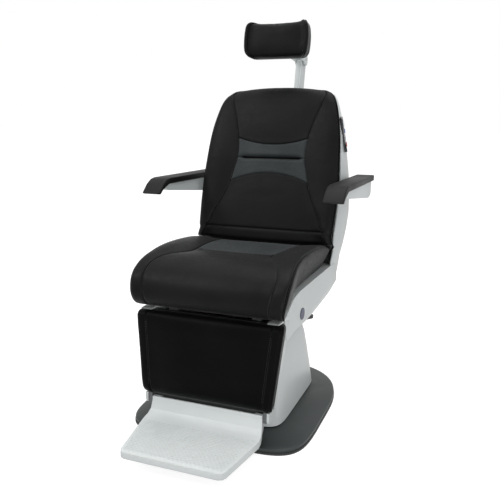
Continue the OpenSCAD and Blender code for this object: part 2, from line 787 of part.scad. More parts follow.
module panel_seat_outline() {
    polygon(concat(
        [for (i = [0 : panel_steps]) let (a = -right_angle + 2 * right_angle * i / panel_steps)
            [hip_y + hip_r * cos(a), hip_z + hip_r * sin(a)]],
        [for (p = panel_top_shares) panel_point(p)],
        [for (p = panel_low_shares) panel_point(p)]));
}

panel_slant = atan((panel_w - panel_front_w) / 2 / panel_len);
chamfer_turn = 24;
chamfer_rise = 6;
chamfer_down_share = 0.3;
strip_slant = atan((strip_top_w - strip_low_w) / 2 / leg_len);

module panel_body() {
    intersection() {
        yz_plate(panel_in, panel_w) panel_seat_outline();
        translate([panel_w / 2, hip_y, 0]) rotate([0, 0, -panel_slant])
            translate([-panel_w, -2 * panel_len, 0]) cube([panel_w, 3 * panel_len, 2 * hip_z]);
        translate([panel_w / 2, hip_y, hip_z - chamfer_down_share * hip_r]) rotate([chamfer_rise, 0, -panel_slant])
            rotate([0, chamfer_turn, 0]) translate([-panel_w, -2 * panel_len, -hip_z])
                cube([panel_w, 3 * panel_len, 2 * hip_z]);
    }
    intersection() {
        leg_frame() {
            yz_plate(panel_in, panel_w) polygon([
                [0, 0], [strip_t, 0], [strip_t, -leg_len / 3], [strip_foot_t, -leg_len * 0.6],
                [strip_foot_t * 0.8, -leg_len], [0, -leg_len]]);
            yz_plate(strip_low_w / 2 - flange_t, panel_w) polygon([
                [over, trim_h - rest_gap - leg_len], [-flange_reach, trim_h - rest_gap - leg_len],
                [-flange_reach, flange_corner - leg_len], [-flange_reach + flange_corner * 0.3, flange_corner * 0.3 - leg_len],
                [-flange_reach + flange_corner, -leg_len], [over, -leg_len]]);
        }
        translate([strip_top_w / 2, 0, knee_z]) rotate([0, strip_slant, 0])
            translate([-panel_w, -panel_len, -2 * leg_len]) cube([panel_w, 2 * panel_len, 3 * leg_len]);
    }
}

module cap_place() {
    translate([panel_w / 2, hip_y, 0]) rotate([0, 0, -panel_slant])
        translate([-cap_sink, -cap_share * panel_len, hip_z + cap_up_share * hip_r])
            rotate([0, right_angle, 0]) children();
}

module side_panel() color(cover_grey) difference() {
    panel_body();
    cap_place() cylinder(r = cap_r + rest_gap, h = cap_t + cap_sink);
}

module side_panel_right() side_panel();

module side_panel_left() scale([-1, 1, 1]) side_panel();

module panel_caps() color("#2d3b66") both_sides() cap_place() cylinder(r = cap_r, h = cap_t);

module under_cover() color(cover_grey) difference() {
    union() {
        yz_plate(-panel_in + rest_gap, panel_in - rest_gap) polygon(concat(
            [for (i = [0 : panel_steps]) let (a = right_angle * i / panel_steps)
                [hip_y + (hip_r - under_gap - under_t) * cos(a), hip_z - (hip_r - under_gap - under_t) * sin(a)]],
            [[hip_y - hip_r, under_z + under_t], [knee_y + leg_arm_t / 2, under_z + under_t],
             [knee_y + leg_arm_t / 2, under_z], [hip_y - hip_r, under_z]],
            [for (i = [panel_steps : -1 : 0]) let (a = right_angle * i / panel_steps)
                [hip_y + (hip_r - under_gap) * cos(a), hip_z - (hip_r - under_gap) * sin(a)]]));
        leg_frame() translate([-panel_in + rest_gap, leg_arm_t + rest_gap, -leg_len])
            cube([2 * panel_in - 2 * rest_gap, leg_back_t, leg_len * 0.82]);
    }
    translate([-cheek_x - 3 * cheek_t, tilt_y - 2.4 * cheek_r, 0])
        cube([2 * cheek_x + 6 * cheek_t, 5 * cheek_r, hip_z]);
}

recline_pin_z = hip_z - recline_crank;
recline_body_y = hip_y - 3 * recline_pin_run - recline_motor_len;

module recline_actuator() color(plastic_black) difference() {
    translate([-recline_motor_w / 2, recline_body_y, recline_pin_z - recline_motor_h / 2 + under_t])
        cube([recline_motor_w, recline_motor_len, beam_low - recline_pin_z + recline_motor_h / 2 - under_t]);
    translate([0, recline_body_y + fork_len, recline_pin_z]) rotate([-right_angle, 0, 0])
        cylinder(r = rod_r + run_gap, h = recline_motor_len);
}

module recline_rod() color("silver")
    drive_rod(recline_body_y + fork_len + 2 * recline_pin_run + over, hip_y + recline_pin_run, recline_pin_z);

// Cushions

// half section of a pad: share of half width, share of thickness
seat_edge_shares = [
    [0.87, 0], [0.9, 0.06], [0.92, 0.2], [0.945, 0.4], [0.97, 0.6], [0.993, 0.78], [1, 0.9], [0.983, 0.965],
    [0.95, 0.995]];
back_edge_shares = [
    [0.8, 0], [0.86, 0.07], [0.885, 0.25], [0.91, 0.5], [0.93, 0.74], [0.99, 0.775], [1, 0.84], [0.985, 0.92],
    [0.94, 0.98]];
seam_half_share = 0.035;

function half_section(edge, seam, dish) = concat(
    edge,
    [[(0.93 + seam) / 2, 1 - dish * 0.35], [seam + seam_half_share, 0.985 - dish * 0.75],
     [seam, 0.955 - dish * 0.85], [seam - seam_half_share, 0.98 - dish * 0.9],
     [seam * 0.72, 0.985 - dish], [seam * 0.36, 0.985 - dish * 1.05]]);

// ring of a pad between a foot point and a top point in the YZ plane
function pad_ring(foot, top, half_w, edge, seam, dish) =
    let (half = half_section(edge, seam, dish), n = len(half), mid = 0.985 - dish * 1.08,
         right = [for (p = half) [p[0] * half_w, p[1]]],
         left = [for (i = [n - 1 : -1 : 0]) [-half[i][0] * half_w, half[i][1]]])
    [for (p = concat(right, [[0, mid]], left))
        [p[0], foot[0] + (top[0] - foot[0]) * p[1], foot[1] + (top[1] - foot[1]) * p[1]]];

back_dish = 0.04;

module seat_cushion() color(hide_black) loft([for (s = seat_pad_shares) pad_ring(
    [hip_y - s[0] * panel_len, panel_top + rest_gap + s[1] * seat_pad_h],
    [hip_y - s[2] * panel_len, panel_top + rest_gap + s[3] * seat_pad_h],
    seat_pad_w / 2 * s[4], seat_edge_shares, s[5], s[6])]);

module back_cushion() color(hide_black)
    loft([for (i = [len(back_pad_shares) - 1 : -1 : 0]) let (s = back_pad_shares[i]) pad_ring(
        [hip_y + s[0] * back_len, hip_z + s[1] * back_len], [hip_y + s[2] * back_len, hip_z + s[3] * back_len],
        back_pad_w / 2 * s[4], back_edge_shares, s[5], back_dish)]);

// leg cushion: height share, thickness share, width share
leg_pad_shares = [
    [0, 0.6, 0.965], [-0.015, 0.82, 0.985], [-0.045, 0.95, 0.997], [-0.12, 1, 1], [-0.3, 1, 1], [-0.5, 1, 1],
    [-0.7, 1, 1], [-0.87, 0.99, 1], [-0.94, 0.93, 0.998], [-0.98, 0.8, 0.988], [-1, 0.6, 0.965]];
leg_seam_share = 0.86;
leg_edge_shares = [
    [0.95, 0], [0.975, 0.07], [0.98, 0.22], [0.985, 0.4], [0.99, 0.56], [1, 0.72], [0.998, 0.86], [0.985, 0.95],
    [0.95, 0.99]];

module legrest_cushion() color(hide_black) leg_frame() translate([0, -rest_gap, -leg_pad_drop]) loft([for (s = leg_pad_shares)
    let (pad_len = leg_len - trim_h - leg_pad_drop - rest_gap, w = leg_pad_w + (leg_pad_low_w - leg_pad_w) * -s[0])
        pad_ring([0, s[0] * pad_len], [-leg_pad_t * s[1], s[0] * pad_len], w / 2 * s[2], leg_edge_shares, leg_seam_share, 0)]);

// Foot rest

module legrest_trim() color(dark_steel) difference() {
    leg_frame() union() {
        translate([-trim_w / 2, -trim_t, -leg_len]) cube([trim_w, trim_t - rest_gap, trim_h - rest_gap]);
        both_sides() translate([foot_top_w / 2 + foot_sweep_gap, -foot_pin_y - foot_ear_r, -leg_len])
            cube([trim_side - foot_sweep_gap, foot_pin_y + foot_ear_r - rest_gap, trim_h - rest_gap]);
    }
    leg_frame() x_rod(foot_sweep_r, -foot_top_w / 2 - foot_sweep_gap, foot_top_w / 2 + foot_sweep_gap, -foot_pin_y,
        -leg_len + foot_pin_up);
    leg_frame() translate([-foot_top_w / 2 - foot_sweep_gap, -2 * trim_t, -leg_len - over])
        cube([foot_top_w + 2 * foot_sweep_gap, 2 * trim_t - foot_pin_y + foot_sweep_r, foot_pin_up + over]);
    foot_pins(foot_pin_r + run_gap);
}

module footrest() color(cover_grey) difference() {
    union() {
        leg_frame() both_sides()
            x_rod(foot_ear_r, foot_top_w / 2 - foot_ear_w, foot_top_w / 2 - rest_gap, -foot_pin_y, -leg_len + foot_pin_up);
        foot_plate();
    }
    foot_pins(foot_pin_r + run_gap);
}

// hinge line of the foot rest in the row frame
foot_y = knee_y - foot_pin_y * cos(leg_tilt) - (leg_len - foot_pin_up) * sin(leg_tilt);
foot_z = knee_z + foot_pin_y * sin(leg_tilt) - (leg_len - foot_pin_up) * cos(leg_tilt);
tread_z = foot_z - foot_drop;

module foot_outline() {
    both_sides() polygon([
        [0, foot_y + foot_ear_r], [foot_top_w / 2, foot_y + foot_ear_r], [foot_top_w / 2, foot_y - foot_ear_r],
        [foot_w / 2 - over, foot_y - foot_root * 0.7], [foot_w / 2, foot_y - foot_root],
        [foot_tip_w / 2 + foot_corner * 0.4, foot_y - foot_len + foot_corner * 1.2],
        [foot_tip_w / 2, foot_y - foot_len + foot_corner * 0.35],
        [foot_tip_w / 2 - foot_corner * 0.8, foot_y - foot_len], [0, foot_y - foot_len]]);
}

module foot_plate() {
    intersection() {
        yz_plate(-foot_w / 2, foot_w / 2) polygon([
            [foot_y + foot_ear_r * 0.6, foot_z], [foot_y - foot_ear_r * 0.5, foot_z + foot_rise],
            [foot_y - foot_ear_r * 0.93, foot_z + foot_rise], [foot_y - foot_ear_r * 1.06, foot_z - foot_ear_r * 0.1],
            [foot_y - foot_root * 0.36, tread_z + foot_drop * 0.4], [foot_y - foot_root * 0.62, tread_z + foot_drop * 0.12],
            [foot_y - foot_root, tread_z], [foot_y - foot_len, tread_z - foot_fall],
            [foot_y - foot_len, tread_z - foot_fall - foot_tip_t], [foot_y - foot_root, tread_z - foot_t],
            [foot_y - foot_root * 0.3, tread_z - foot_t * 0.7],
            [foot_y, tread_z + foot_drop * 0.2], [foot_y + foot_ear_r * 0.9, foot_z - foot_ear_r * 0.4]]);
        translate([0, 0, tread_z - foot_len]) linear_extrude(2 * foot_len) foot_outline();
    }
    translate([0, foot_y - foot_root, tread_z]) rotate([foot_slope, 0, 0]) for (i = [0 : rib_count - 1])
        translate([-foot_rib_half(i), -(i + 1) * rib_pitch, -over]) cube([2 * foot_rib_half(i), rib_pitch * rib_share, over + rib_h]);
}

foot_slope = atan(foot_fall / (foot_len - foot_root));
rib_pitch = (foot_len - foot_root - foot_lip) / rib_count;

function foot_rib_half(i) =
    foot_w / 2 - foot_lip * 0.5 - (foot_w - foot_tip_w) / 2 * (i + 1) * rib_pitch / (foot_len - foot_root);

// Back frame, shell and post housing

function back_point(p, dy) = [hip_y + p[0] * back_len + dy, hip_z + p[1] * back_len];

module back_frame() color(dark_steel) difference() {
    union() {
        x_rod(hip_tube_r, -frame_x + frame_gap, frame_x - frame_gap, hip_y, hip_z);
        both_sides() crank(crank_x, hip_y, hip_z, recline_crank, recline_range / 2, recline_slot_w, hip_tube_r - over);
        both_sides() yz_plate(side_arm_x, side_arm_x + side_arm_t) polygon([
            [hip_y - hip_tube_r / 2, hip_z], [hip_y + hip_tube_r * 0.9, hip_z],
            back_point(back_pad_shares[3], 2 * plate_back_t), back_point(back_pad_shares[6], plate_back_t / 2),
            back_point(back_pad_shares[4], plate_back_t / 2), back_point(back_pad_shares[2], plate_back_t / 2)]);
        yz_plate(-plate_back_w / 2, plate_back_w / 2) polygon(concat(
            [for (i = [plate_first : plate_last]) back_point(back_pad_shares[i], over)],
            [for (i = [plate_last : -1 : plate_first]) back_point(back_pad_shares[i], plate_back_t)]));
        both_sides() {
            x_rod(arm_ear_r, arm_ear_x, arm_ear_x + arm_ear_t, arm_pivot_y, arm_pivot_z);
            translate([plate_back_w / 2 - 2 * over, arm_pivot_y - arm_ear_r - plate_back_t, arm_pivot_z - arm_ear_r / 2])
                cube([arm_ear_x + arm_ear_t - plate_back_w / 2 + over, arm_ear_r / 2 + plate_back_t, arm_ear_r]);
        }
    }
    both_sides() x_rod(hip_pin_r + run_gap, side_arm_x - over, frame_x, hip_y, hip_z);
    both_sides() x_rod(arm_pin_r + run_gap, arm_ear_x - over, arm_ear_x + arm_ear_t + over, arm_pivot_y, arm_pivot_z);
}

// reach of the shell's front edge at a height, just behind the cushion's outer welt
function lip_y(z) = lookup(z, [for (s = back_pad_shares)
    [hip_z + (s[1] + (s[3] - s[1]) * lip_share) * back_len, hip_y + (s[0] + (s[2] - s[0]) * lip_share) * back_len]]);

// front edge flat, sides straight, rear crowned
function shell_ring(s, inset, front_over) =
    let (z = hip_z + s[0] * back_len, half_w = shell_w / 2 * s[1] - inset, front = lip_y(z) - front_over,
         side = max(hip_y + s[2] * back_len, lip_y(z) + over), rear = hip_y + s[3] * back_len - inset)
    concat(
        [[half_w, front, z]],
        [for (i = [0 : shell_rear_steps]) let (a = 2 * right_angle * i / shell_rear_steps)
            [half_w * signed_pow(cos(a), 2 / shell_bulge), side + (rear - side) * pow(sin(a), 2 / shell_bulge), z]],
        [[-half_w, front, z]]);

// row of the shell table at a height between its rows
function shell_row(h) = [h, for (k = [1 : 3]) lookup(h, [for (s = shell_shares) [s[0], s[k]]])];

shell_foot = shell_shares[0][0];
shell_top = shell_shares[len(shell_shares) - 1][0];

module shell_loft(grow, inset, front_over) {
    loft([for (i = [0 : shell_rows]) let (h = shell_foot + (shell_top - shell_foot) * i / shell_rows,
        end = i == 0 ? -grow : i == shell_rows ? grow : 0, r = shell_row(h))
            shell_ring([h + end / back_len, r[1], r[2], r[3]], inset, front_over)]);
}

module back_shell() color(cover_grey) difference() {
    shell_loft(0, 0, 0);
    shell_loft(over, shell_wall, 2 * hip_r);
    x_rod(hip_r + hip_gap, -shell_w, shell_w, hip_y, hip_z);
    translate([-shell_w, hip_y - 4 * hip_r, hip_z]) cube([2 * shell_w, 4 * hip_r, hip_r + hip_gap]);
    housing_block(keypad_fit);
    both_sides() keypad_place() keypad_block(keypad_fit);
    both_sides() x_rod(arm_pin_r + over, arm_ear_x, shell_w, arm_pivot_y, arm_pivot_z);
}

// frame on the post: origin at its top pivot, -Z down the post
module post_frame() {
    translate([0, post_top_y, post_top_z]) rotate([-post_lean, 0, 0]) children();
}

module housing_block(grow) {
    post_frame() translate([-post_w / 2 - housing_wall - grow, -post_d / 2 - housing_wall - grow, -housing_to - grow])
        cube([post_w + 2 * housing_wall + 2 * grow, post_d + 2 * housing_wall + 2 * grow, housing_to - housing_from + 2 * grow]);
}

module post_housing() color(cover_grey) difference() {
    housing_block(0);
    post_frame() translate([-post_w / 2 - rest_gap, -post_d / 2 - rest_gap, -housing_to - over])
        cube([post_w + 2 * rest_gap, post_d + 2 * rest_gap, housing_to - housing_from + 2 * over]);
}

// Keypads

module keypad_place() {
    translate([keypad_x, keypad_y, keypad_z]) rotate([0, -keypad_lean, keypad_turn]) children();
}

module keypad_block(grow) {
    translate([keypad_out - keypad_t - grow, 0, 0]) rotate([right_angle, 0, right_angle])
        linear_extrude(keypad_t + grow) polygon(plan(pad_w / 2 + grow, pad_h / 2 + grow, pad_h / 2 + grow,
            keypad_square, keypad_square, shroud_steps));
}

function key_z(i) = (i - (key_count - 1) / 2) * key_pitch;

module key_block(i, grow) {
    translate([keypad_out + key_out - key_t, -key_w / 2 - grow, key_z(i) - key_h / 2 - grow])
        cube([key_t + grow, key_w + 2 * grow, key_h + 2 * grow]);
}

module keypad() color(plastic_black) keypad_place() difference() {
    keypad_block(0);
    for (i = [0 : key_count - 1]) translate([-key_travel - rest_gap, 0, 0]) key_block(i, key_gap);
    for (i = [0 : key_count - 1]) key_block(i, key_gap);
}

module keypad_right() keypad();

module keypad_left() scale([-1, 1, 1]) keypad();

module key_right(i) color(i == 0 ? "#b5302c" : "#dfe6ee") keypad_place() key_block(i, 0);

module key_left(i) scale([-1, 1, 1]) key_right(i);

// Arms

arm_x = shell_w / 2 + arm_gap;
beam_x = arm_x + arm_beam_gap;
arm_front = arm_pivot_y + 2 * arm_hub_r - arm_len;
arm_rear = arm_front + arm_len;
arm_bend = arm_front + arm_nose;
pad_bottom = arm_top - arm_pad_t;
arm_slope = arm_fall / (arm_len - arm_nose);

function pad_under(y) = pad_bottom - (y - arm_bend) * arm_slope;

module arm_pins() color("silver") both_sides() {
    x_rod(arm_pin_r, arm_ear_x, beam_x + arm_beam_w / 2, arm_pivot_y, arm_pivot_z);
}

module arm_bracket() color(cover_grey) difference() {
    union() {
        yz_plate(beam_x, beam_x + arm_beam_w) polygon(concat(
            [[arm_rear - arm_hub_r / 2, pad_under(arm_rear) - rest_gap], [arm_bend, pad_under(arm_bend) - rest_gap]],
            [for (p = beam_low_shares)
                [arm_front + p[0] * arm_len, pad_under(arm_front + p[0] * arm_len) - beam_h * p[1]]]));
        x_rod(arm_hub_r, shell_w / 2 + hub_gap, beam_x + over, arm_pivot_y, arm_pivot_z);
    }
    x_rod(arm_pin_r + run_gap, shell_w / 2, beam_x + arm_beam_w / 2 + over, arm_pivot_y, arm_pivot_z);
}

module arm_bracket_right() arm_bracket();

module arm_bracket_left() scale([-1, 1, 1]) arm_bracket();

module arm_pad() color("#3a3a3a") yz_plate(arm_x, arm_x + arm_pad_w) polygon([
    [arm_rear, pad_under(arm_rear)], [arm_rear, pad_under(arm_rear) + arm_pad_t],
    [arm_bend, arm_top], [arm_bend - arm_nose * 0.3, arm_top - nose_drop * 0.08],
    [arm_bend - arm_nose * 0.6, arm_top - nose_drop * 0.36], [arm_bend - arm_nose * 0.85, arm_top - nose_drop * 0.75],
    [arm_front, arm_top - nose_drop], [arm_front + arm_pad_t * 0.7, arm_top - nose_drop - arm_pad_t * 0.2],
    [arm_bend - arm_nose * 0.62, arm_top - nose_drop * 0.8], [arm_bend - arm_nose * 0.4, pad_bottom - nose_drop * 0.22],
    [arm_bend - arm_nose * 0.1, pad_bottom - nose_drop * 0.02], [arm_bend, pad_bottom]]);

module arm_pad_right() arm_pad();

module arm_pad_left() scale([-1, 1, 1]) arm_pad();

// Head rest

module headrest_post() color(cover_grey) post_frame() difference() {
    union() {
        translate([-post_w / 2, -post_d / 2, -post_len]) cube([post_w, post_d, post_len]);
        x_rod(post_d / 2, -post_w / 2, post_w / 2, 0, 0);
    }
    x_rod(post_pin_r + run_gap, -post_w, post_w, 0, 0);
}

module post_pin() color("#444444") {
    x_rod(post_pin_r, -post_w / 2 - strap_gap - strap_t, post_w / 2 + strap_gap + strap_t, post_top_y, post_top_z);
}

// frame on the link: origin at the post pivot, -Y towards the head
link_vec = [head_pivot_y - post_top_y, head_pivot_z - post_top_z];
link_len = norm(link_vec);
link_rise = atan2(link_vec[1], -link_vec[0]);

module link_frame() {
    translate([0, post_top_y, post_top_z]) rotate([-link_rise, 0, 0]) children();
}

module headrest_link() color(cover_grey) link_frame() difference() {
    union() {
        both_sides() {
            x_rod(strap_r, post_w / 2 + strap_gap, post_w / 2 + strap_gap + strap_t, 0, 0);
            translate([post_w / 2 + strap_gap, -link_clear - link_r, -link_r]) cube([strap_t, link_clear + link_r, 2 * link_r]);
        }
        translate([-post_w / 2 - strap_gap - strap_t, -link_len + head_eye_r + 2 * over + head_lug_t, -link_r])
            cube([post_w + 2 * strap_gap + 2 * strap_t, link_len - link_clear - head_eye_r - 2 * over - head_lug_t, 2 * link_r]);
        translate([-post_w / 2, -link_len, -link_r]) cube([post_w, link_len - link_clear, 2 * link_r]);
        x_rod(head_eye_r, -post_w / 2, post_w / 2, -link_len, 0);
    }
    x_rod(post_pin_r + run_gap, -post_w, post_w, 0, 0);
    x_rod(head_pin_r + run_gap, -post_w, post_w, -link_len, 0);
}

module headrest_pin() color("#444444")
    x_rod(head_pin_r, -post_w / 2 - strap_gap - head_lug_t, post_w / 2 + strap_gap + head_lug_t, head_pivot_y, head_pivot_z);

// frame on the head rest: origin at its pivot, -Y towards the head
module head_frame() {
    translate([0, head_pivot_y, head_pivot_z]) rotate([-head_lean, 0, 0]) children();
}

module headrest_shell() color(plastic_black) head_frame() difference() {
    union() {
        translate([-head_w * 0.4, -head_back - head_plate_t, -head_h * 0.36]) cube([head_w * 0.8, head_plate_t, head_h * 0.75]);
        both_sides() {
            x_rod(head_eye_r, post_w / 2 + strap_gap, post_w / 2 + strap_gap + head_lug_t, 0, 0);
            translate([post_w / 2 + strap_gap, -head_back - over, -head_eye_r]) cube([head_lug_t, head_back + over, 2 * head_eye_r]);
        }
    }
    x_rod(head_pin_r + run_gap, -post_w, post_w, 0, 0);
}

head_up = 10;

module headrest_cushion() color(hide_black) head_frame()
    translate([0, -head_back - head_plate_t - rest_gap, head_up]) loft([for (s = head_shares) head_ring(s)]);

// ring of the head cushion, its ends curved forward and its edges raised at the sides
function head_ring(s) = [for (p = pad_ring([0, s[0] * head_h / 2], [-head_t * s[1], s[0] * head_h / 2], head_w / 2 * s[2], leg_edge_shares, 0.86, 0.16))
    [p[0], p[1], p[2] - head_dish * (s[0] > 0 ? s[0] : 0) * (1 - pow(2 * p[0] / head_w, 2))]];

floor_plate();
base_cover();
base_edge_seal();
swivel_ring_lower();
bearing_balls();
spindle();
power_inlet();
swivel_ring_upper();
turntable_plate();
column_lower();
lift_actuator();
inner_shroud();
column_middle();
lift_tube_middle();
column_upper();
lift_ram();
carriage_head();
outer_shroud();
tilt_actuator();
tilt_shaft();
swivel_lock_lever();
tilt_rod();
recline_rod();
seat_frame();
seat_pan();
seat_cushion();
side_panel_left();
side_panel_right();
under_cover();
legrest_cushion();
legrest_trim();
panel_caps();
recline_actuator();
seat_pins();
footrest();
back_frame();
back_shell();
back_cushion();
post_housing();
keypad_left();
keypad_right();
arm_pins();
headrest_post();
post_pin();
headrest_link();
headrest_pin();
headrest_shell();
headrest_cushion();
arm_bracket_left();
arm_bracket_right();
arm_pad_left();
arm_pad_right();
key_left(0);  // key_left_1
key_left(1);  // key_left_2
key_left(2);  // key_left_3
key_left(3);  // key_left_4
key_right(0);  // key_right_1
key_right(1);  // key_right_2
key_right(2);  // key_right_3
key_right(3);  // key_right_4
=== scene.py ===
import bpy, bmesh, json, math
import numpy as np
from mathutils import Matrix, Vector, kdtree

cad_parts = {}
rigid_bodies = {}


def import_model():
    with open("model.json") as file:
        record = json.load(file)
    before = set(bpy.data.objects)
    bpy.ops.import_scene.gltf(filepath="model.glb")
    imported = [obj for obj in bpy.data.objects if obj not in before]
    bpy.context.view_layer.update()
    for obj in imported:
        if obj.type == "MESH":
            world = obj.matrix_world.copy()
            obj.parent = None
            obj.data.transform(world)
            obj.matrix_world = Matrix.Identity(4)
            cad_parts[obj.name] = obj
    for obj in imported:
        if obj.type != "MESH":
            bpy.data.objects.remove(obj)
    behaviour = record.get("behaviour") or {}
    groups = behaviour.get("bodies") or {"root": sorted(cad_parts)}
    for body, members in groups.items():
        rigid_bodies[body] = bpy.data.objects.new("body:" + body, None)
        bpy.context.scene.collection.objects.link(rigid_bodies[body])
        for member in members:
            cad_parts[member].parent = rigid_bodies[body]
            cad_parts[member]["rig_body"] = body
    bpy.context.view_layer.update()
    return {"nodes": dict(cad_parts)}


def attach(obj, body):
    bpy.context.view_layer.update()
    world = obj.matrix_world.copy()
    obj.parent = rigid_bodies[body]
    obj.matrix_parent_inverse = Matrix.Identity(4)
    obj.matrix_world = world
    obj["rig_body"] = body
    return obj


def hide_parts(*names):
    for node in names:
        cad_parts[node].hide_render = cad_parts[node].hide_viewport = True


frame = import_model()
mm = 0.001
print("frame loaded:", len(frame["nodes"]), "nodes")


# camera, light and floor
view = {
    "position": (0.765, -1.906, 1.000),
    "azimuth": 21.39,      # degrees from straight in front, towards the lever's side
    "down": 12.55,
    "lens": 44.65,
    "sensor": 36.0,
}
studio = {
    "key": {"at": (-1.9, -1.9, 3.1), "aim": (0, 0, 0.6), "size": 1.6, "watts": 50},
    "side": {"at": (2.8, -0.6, 1.9), "aim": (0, 0, 0.6), "size": 1.8, "watts": 6},
    "front": {"at": (1.9, -3.0, 0.7), "aim": (0, 0, 0.4), "size": 1.6, "watts": 44},
    "top": {"at": (0.1, 0.3, 3.4), "aim": (0, 0.1, 0.6), "size": 2.2, "watts": 44},
    "roomLow": 0.34,       # strength of the pale room at the horizon
    "roomHigh": 0.86,      # and overhead
    "floorReach": 30.0,    # m to each side
    "floor": "#a4a4a4",
    "floorGlow": 0.84,     # what the eye sees of the white sweep, on top of its lit colour
}


def aimAt(thing, target):
    direction = Vector(target) - thing.location
    thing.rotation_euler = direction.to_track_quat("-Z", "Y").to_euler()


def addCamera():
    data = bpy.data.cameras.new("photoView")
    data.lens, data.sensor_width = view["lens"], view["sensor"]
    data.clip_start, data.clip_end = 0.05, 60
    cam = bpy.data.objects.new("photoView", data)
    cam.location = view["position"]
    cam.rotation_euler = (math.radians(90 - view["down"]), 0, math.radians(view["azimuth"]))
    bpy.context.scene.collection.objects.link(cam)
    bpy.context.scene.camera = cam


def addLights():
    for name in ("key", "side", "front", "top"):
        spec = studio[name]
        data = bpy.data.lights.new(name + "Light", "AREA")
        data.energy, data.size = spec["watts"], spec["size"]
        lamp = bpy.data.objects.new(name + "Light", data)
        lamp.location = spec["at"]
        aimAt(lamp, spec["aim"])
        bpy.context.scene.collection.objects.link(lamp)


# materials
def hexToLinear(code):
    values = [int(code[i:i + 2], 16) / 255 for i in (1, 3, 5)]
    return tuple(v / 12.92 if v <= 0.04045 else ((v + 0.055) / 1.055) ** 2.4 for v in values) + (1.0,)


def addNode(tree, kind, settings=None, links=None):
    node = tree.nodes.new(kind)
    for key, value in (settings or {}).items():
        if isinstance(key, str) and hasattr(node, key):
            setattr(node, key, value)
        else:
            node.inputs[key].default_value = value
    for key, source in (links or {}).items():
        tree.links.new(source, node.inputs[key])
    return node


def newMaterial(name):
    mat = bpy.data.materials.new(name)
    mat.use_nodes = True
    tree = mat.node_tree
    return mat, tree, tree.nodes["Principled BSDF"]


def perMetre(millimetres):
    return 1000.0 / millimetres      # texture scale for a pattern with this spacing


def noise(tree, where, spacing, detail, **more):
    settings = {"Scale": perMetre(spacing), "Detail": detail, **more}
    return addNode(tree, "ShaderNodeTexNoise", settings, {"Vector": where}).outputs["Fac"]


def mapped(tree, value, low, high, toLow=0.0, toHigh=1.0):
    # stretches low to high of a value over toLow to toHigh
    settings = {"From Min": low, "From Max": high, "To Min": toLow, "To Max": toHigh}
    return addNode(tree, "ShaderNodeMapRange", settings, {"Value": value}).outputs["Result"]


def toned(tree, share, colours):
    settings = {"data_type": "RGBA", 6: hexToLinear(colours[0]), 7: hexToLinear(colours[1])}
    return addNode(tree, "ShaderNodeMix", settings, {0: share}).outputs[2]


def bumped(tree, height, strength, depth, under=None):
    # depth in mm; under is the normal of a coarser relief below this one
    links = {"Height": height} if under is None else {"Height": height, "Normal": under}
    settings = {"Strength": strength, "Distance": depth * mm}
    return addNode(tree, "ShaderNodeBump", settings, links).outputs["Normal"]


def dress(tree, skin, colour, roughness, normal):
    for socket, source in (("Base Color", colour), ("Roughness", roughness), ("Normal", normal)):
        tree.links.new(source, skin.inputs[socket])


leatherette = {
    "pebble": 1.7,         # mm across one embossed grain cell; coarser than real so it shows
    "crease": 11.0,        # mm between the soft creases pressed into the skin
    "cloud": 120.0,        # mm across the slow drift of its tone
    "pebbleDepth": 0.4,    # mm
    "creaseDepth": 1.2,
    "bump": 0.2,
    "valleyShade": "#d8d8d8",   # painted shade: tint that darkens the valleys of the grain
    "black": ("#09090a", "#101011"),
    # painted shade: the black hide darkened, for the leg pad and the flanks of seat and back
    "paintedShadeBlack": ("#030304", "#070708"),
    "grey": ("#2a2e2f", "#363a3b"),
    "roughness": (0.4, 0.54),
    "sheen": 0.05,
    "sheenRoughness": 0.4,
    "refraction": 1.48,
}


def makeLeatherette(name, colours, shine):
    # PU coated cloth, roller embossed: dull broad highlights and a fine pebble
    spec = leatherette
    mat, tree, skin = newMaterial(name)
    place = addNode(tree, "ShaderNodeTexCoord").outputs["Object"]
    pebble = addNode(tree, "ShaderNodeTexVoronoi", {"feature": "F1", "Scale": perMetre(spec["pebble"])},
                     {"Vector": place}).outputs["Distance"]
    creases = noise(tree, place, spec["crease"], 6.0, Roughness=0.6)
    tone = toned(tree, mapped(tree, noise(tree, place, spec["cloud"], 3.0), 0.35, 0.68), colours)
    # the valleys of the grain are painted a little darker than its tops, as painted shade
    grained = addNode(tree, "ShaderNodeMix",
                      {"data_type": "RGBA", "blend_type": "MULTIPLY", 7: hexToLinear(spec["valleyShade"])},
                      {0: mapped(tree, pebble, 0.25, 0.75), 6: tone})
    grain = bumped(tree, pebble, spec["bump"], spec["pebbleDepth"])
    dress(tree, skin, grained.outputs[2], mapped(tree, creases, 0.3, 0.7, *spec["roughness"]),
          bumped(tree, creases, spec["bump"], spec["creaseDepth"], grain))
    skin.inputs["Specular IOR Level"].default_value = shine
    skin.inputs["Sheen Weight"].default_value = spec["sheen"]
    skin.inputs["Sheen Roughness"].default_value = spec["sheenRoughness"]
    skin.inputs["IOR"].default_value = spec["refraction"]
    return mat


moulded = {
    "cloud": 160.0,        # mm across the slow change of tone and gloss
    "toothDepth": 0.3,     # mm
    "coatRoughness": 0.12,
}


def makeMoulded(name, colours, roughness, texture=0.7, bump=0.1, coat=0.0, shine=0.5):
    # moulded or sprayed surface: even colour, a fine tooth, slow change of gloss
    mat, tree, skin = newMaterial(name)
    place = addNode(tree, "ShaderNodeTexCoord").outputs["Object"]
    tooth = noise(tree, place, texture, 2.0)
    cloud = noise(tree, place, moulded["cloud"], 2.0)
    dress(tree, skin, toned(tree, mapped(tree, cloud, 0.35, 0.65), colours),
          mapped(tree, cloud, 0.3, 0.7, *roughness),
          bumped(tree, tooth, bump, moulded["toothDepth"]))
    skin.inputs["Specular IOR Level"].default_value = shine
    skin.inputs["Coat Weight"].default_value = coat
    skin.inputs["Coat Roughness"].default_value = moulded["coatRoughness"]
    return mat


machined = {"bump": 0.12, "lineDepth": 0.2}      # depth in mm


